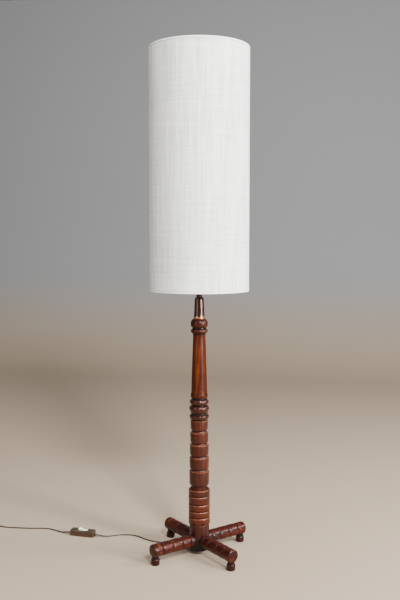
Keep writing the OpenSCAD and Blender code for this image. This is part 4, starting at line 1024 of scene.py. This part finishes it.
def switchCoverShell(f):
    cover = switchHalf(f, "switchTopShell", f["split"] + f["seam"], f["high"])
    (dishLong, dishWide, dishDeep), top = f["dish"], (0, 0, f["high"])
    slot = [side + gap for side, gap in zip(f["rocker"], f["slotGap"])]
    cut(cover, block("dish", (dishLong, dishWide, 2 * dishDeep), top))
    cut(cover, block("slot", (*slot, 14), top))
    return cover


def rockerOutline(f):
    reach, dished = f["rocker"][0] / 2, f["rocker"][0] / 2 - 3
    line = arcPoints((0, 0), 4.2, 4.2, 180, 360, 10)
    line += [(reach - 1, 0.6), (reach, 2), (reach - 0.6, 5.4)]
    for i in range(11):  # the dished thumb face
        x = dished * (1 - i / 5)
        line.append((x, 4.4 + 1.8 * (x / dished) ** 2))
    return line + [(0.6 - reach, 5.4), (-reach, 2), (1 - reach, 0.6)]


def switchPaddle(f):
    paddle = extruded("rockerPaddle", rockerOutline(f), f["rocker"][1], 0.6)
    cut(paddle, rod(f["pinD"] / 2, 2 * f["rocker"][1], (0, 0, 0), (math.pi / 2, 0, 0)))
    return moved(paddle, (0, 0, f["pinZ"]), f["tip"], "Y")


def glandRing(f, side, name):
    outer, reach = f["gland"]
    r = outer / 2
    outline = [(r - 1.1, 0), (r, 0), (r, reach - 0.9), (r - 0.9, reach), (r - 1.8, reach)]
    ring = turned(name, outline, steps=40, closed=True)
    return moved(ring, (side * f["long"] / 2, 0, cordFacts["entryZ"]), side * 90, "Y")


base = switchHalf(switchFacts, "switchLowerShell", 0, switchFacts["split"])
for piece, body, slot, *node in [
        (base, "stand", "switch_brown", "switch_base"),
        (switchCoverShell(switchFacts), "stand", "switch_brown", "switch_cover"),
        (switchPaddle(switchFacts), "rocker", "cream_plastic", "switch_rocker"),
        (glandRing(switchFacts, -1, "cordGlandLeft"), "stand", "switch_brown"),
        (glandRing(switchFacts, 1, "cordGlandRight"), "stand", "switch_brown")]:
    place(piece, cordFacts["switchAt"], cordFacts["switchTurn"])
    show(piece, plain[slot], body, slot, *node)

plugFacts = {"relief": 22, "reliefD": (8, 11), "ribs": 5, "ribDeep": 0.9, "long": 36, "wide": 26,
             "thick": 13.6, "edge": 2.6, "hollowR": 30, "hollowDeep": 1.4}


def reliefOutline(f):  # tapered, with ribs that let it bend
    (thin, fat), long, deep = f["reliefD"], f["relief"], f["ribDeep"]
    line = [(0.0, 0.0), (thin / 2 - 0.6, 0.0), (thin / 2, 0.6)]
    for i in range(f["ribs"]):
        at = 3 + (long - 5) * i / f["ribs"]
        r = (thin + (fat - thin) * at / long) / 2
        line += [(r, at), (r - deep, at + 0.4), (r - deep, at + 1.4), (r + 0.1, at + 1.8)]
    return line + [(fat / 2, long), (fat / 2, long + 3), (0.0, long + 3)]


def plugOutline(f):
    wide, start = f["wide"] / 2, f["relief"] - 1
    side = [(x + start, y) for x, y in arcPoints((12, wide - 6), 8, 6, 150, 90, 6)]
    line = [(start, 5)] + side + [(start + f["long"] + 1, wide)]
    return line + [(x, -y) for x, y in reversed(line)]


def makePlug(f):
    plug = moved(extruded("plugMoulding", plugOutline(f), f["thick"], f["edge"]), turn=90, axis="X")
    away = f["thick"] / 2 + f["hollowR"] - f["hollowDeep"]
    for side in (-1, 1):  # finger hollows on its two broad sides
        bpy.ops.mesh.primitive_uv_sphere_add(
            segments=40, ring_count=20, radius=f["hollowR"] * mm,
            location=((f["relief"] + f["long"] * 0.48) * mm, 0, side * away * mm))
        cut(plug, bpy.context.object)
    relief = moved(turned("plugRelief", reliefOutline(f), steps=40), turn=90, axis="Y")
    merged(plug, relief, "UNION")
    return moved(plug, (0, 0, cordFacts["plugZ"]))


plug = place(makePlug(plugFacts), plugStart[:2], -90)
show(plug, goldBrown, "stand", "cord_gold", "plug_body")
print("stage: switch and plug")

for part in frame["record"]["subparts"]:  # the CAD's own nodes
    paint(nodes[part["node"]], plain[part["material_slot"]])


# floor and light

floorFacts = {"size": 14.0, "bend": 3.2, "bendR": 1.2, "floor": rgb(168, 149, 128),
              "wall": rgb(146, 148, 150)}
roomFacts = {"colour": (0.9, 0.92, 0.95, 1), "strength": 0.22}
lightFacts = [
    # name, centre, aimed at, width, height, watts, colour
    ("rightWindow", (2.8, -1.5, 1.5), (0, 0, 0.9), 0.6, 2.2, 225, (1.0, 0.99, 0.98)),
    ("leftWindow", (-2.1, -2.5, 1.5), (0, 0, 0.9), 0.35, 2.2, 30, (0.97, 0.98, 1.0)),
    ("frontWindow", (1.5, -2.8, 2.9), (0, 0, 0.8), 0.7, 0.6, 250, (1.0, 0.99, 0.98)),
    ("sideWindow", (3.2, 0.3, 2.2), (0, 0, 0.5), 0.8, 0.8, 90, (0.98, 0.99, 1.0)),
    ("ceiling", (-0.2, 0.2, 3.6), (0, 0, 0.2), 2.6, 2.6, 50, (1.0, 0.99, 0.98)),
]


def addBackdrop(f):  # a floor that bends up into a wall far behind the lamp
    bpy.ops.mesh.primitive_grid_add(x_subdivisions=2, y_subdivisions=80, size=f["size"])
    floor = bpy.context.object
    floor.name = "paleFloor"
    for v in floor.data.vertices:
        past = v.co.y - f["bend"]
        if past > 0:
            a = min(past / f["bendR"], math.pi / 2)
            v.co.z = f["bendR"] * (1 - math.cos(a)) + max(past - f["bendR"] * math.pi / 2, 0)
            v.co.y = f["bend"] + f["bendR"] * math.sin(a)
    bpy.ops.object.shade_smooth()
    finish = Finish("paleFloor", Roughness=0.85)
    x, y, z = finish.place()
    finish.set("Base Color", z.step(0.0, 0.8).mix(f["floor"], f["wall"]))
    paint(floor, finish)


def addLight(name, centre, target, wide, high, watts, colour):
    data = bpy.data.lights.new(name, "AREA")
    data.shape, data.size, data.size_y = "RECTANGLE", wide, high
    data.energy, data.color = watts, colour
    lamp = added(name, data)
    lamp.location = centre
    lamp.rotation_euler = (Vector(target) - Vector(centre)).to_track_quat("-Z", "Y").to_euler()
    lamp.visible_camera = False


addBackdrop(floorFacts)
for facts in lightFacts:
    addLight(*facts)
world = bpy.data.worlds.new("softRoom")
bpy.context.scene.world = world
world.use_nodes = True
sky = world.node_tree.nodes["Background"].inputs
sky["Color"].default_value = roomFacts["colour"]
sky["Strength"].default_value = roomFacts["strength"]
print("stage: floor and light")


# closing lines: the cords' points in metres, worked out and not kept

[p * mm for p in lineA]
[p * mm for p in lineB]
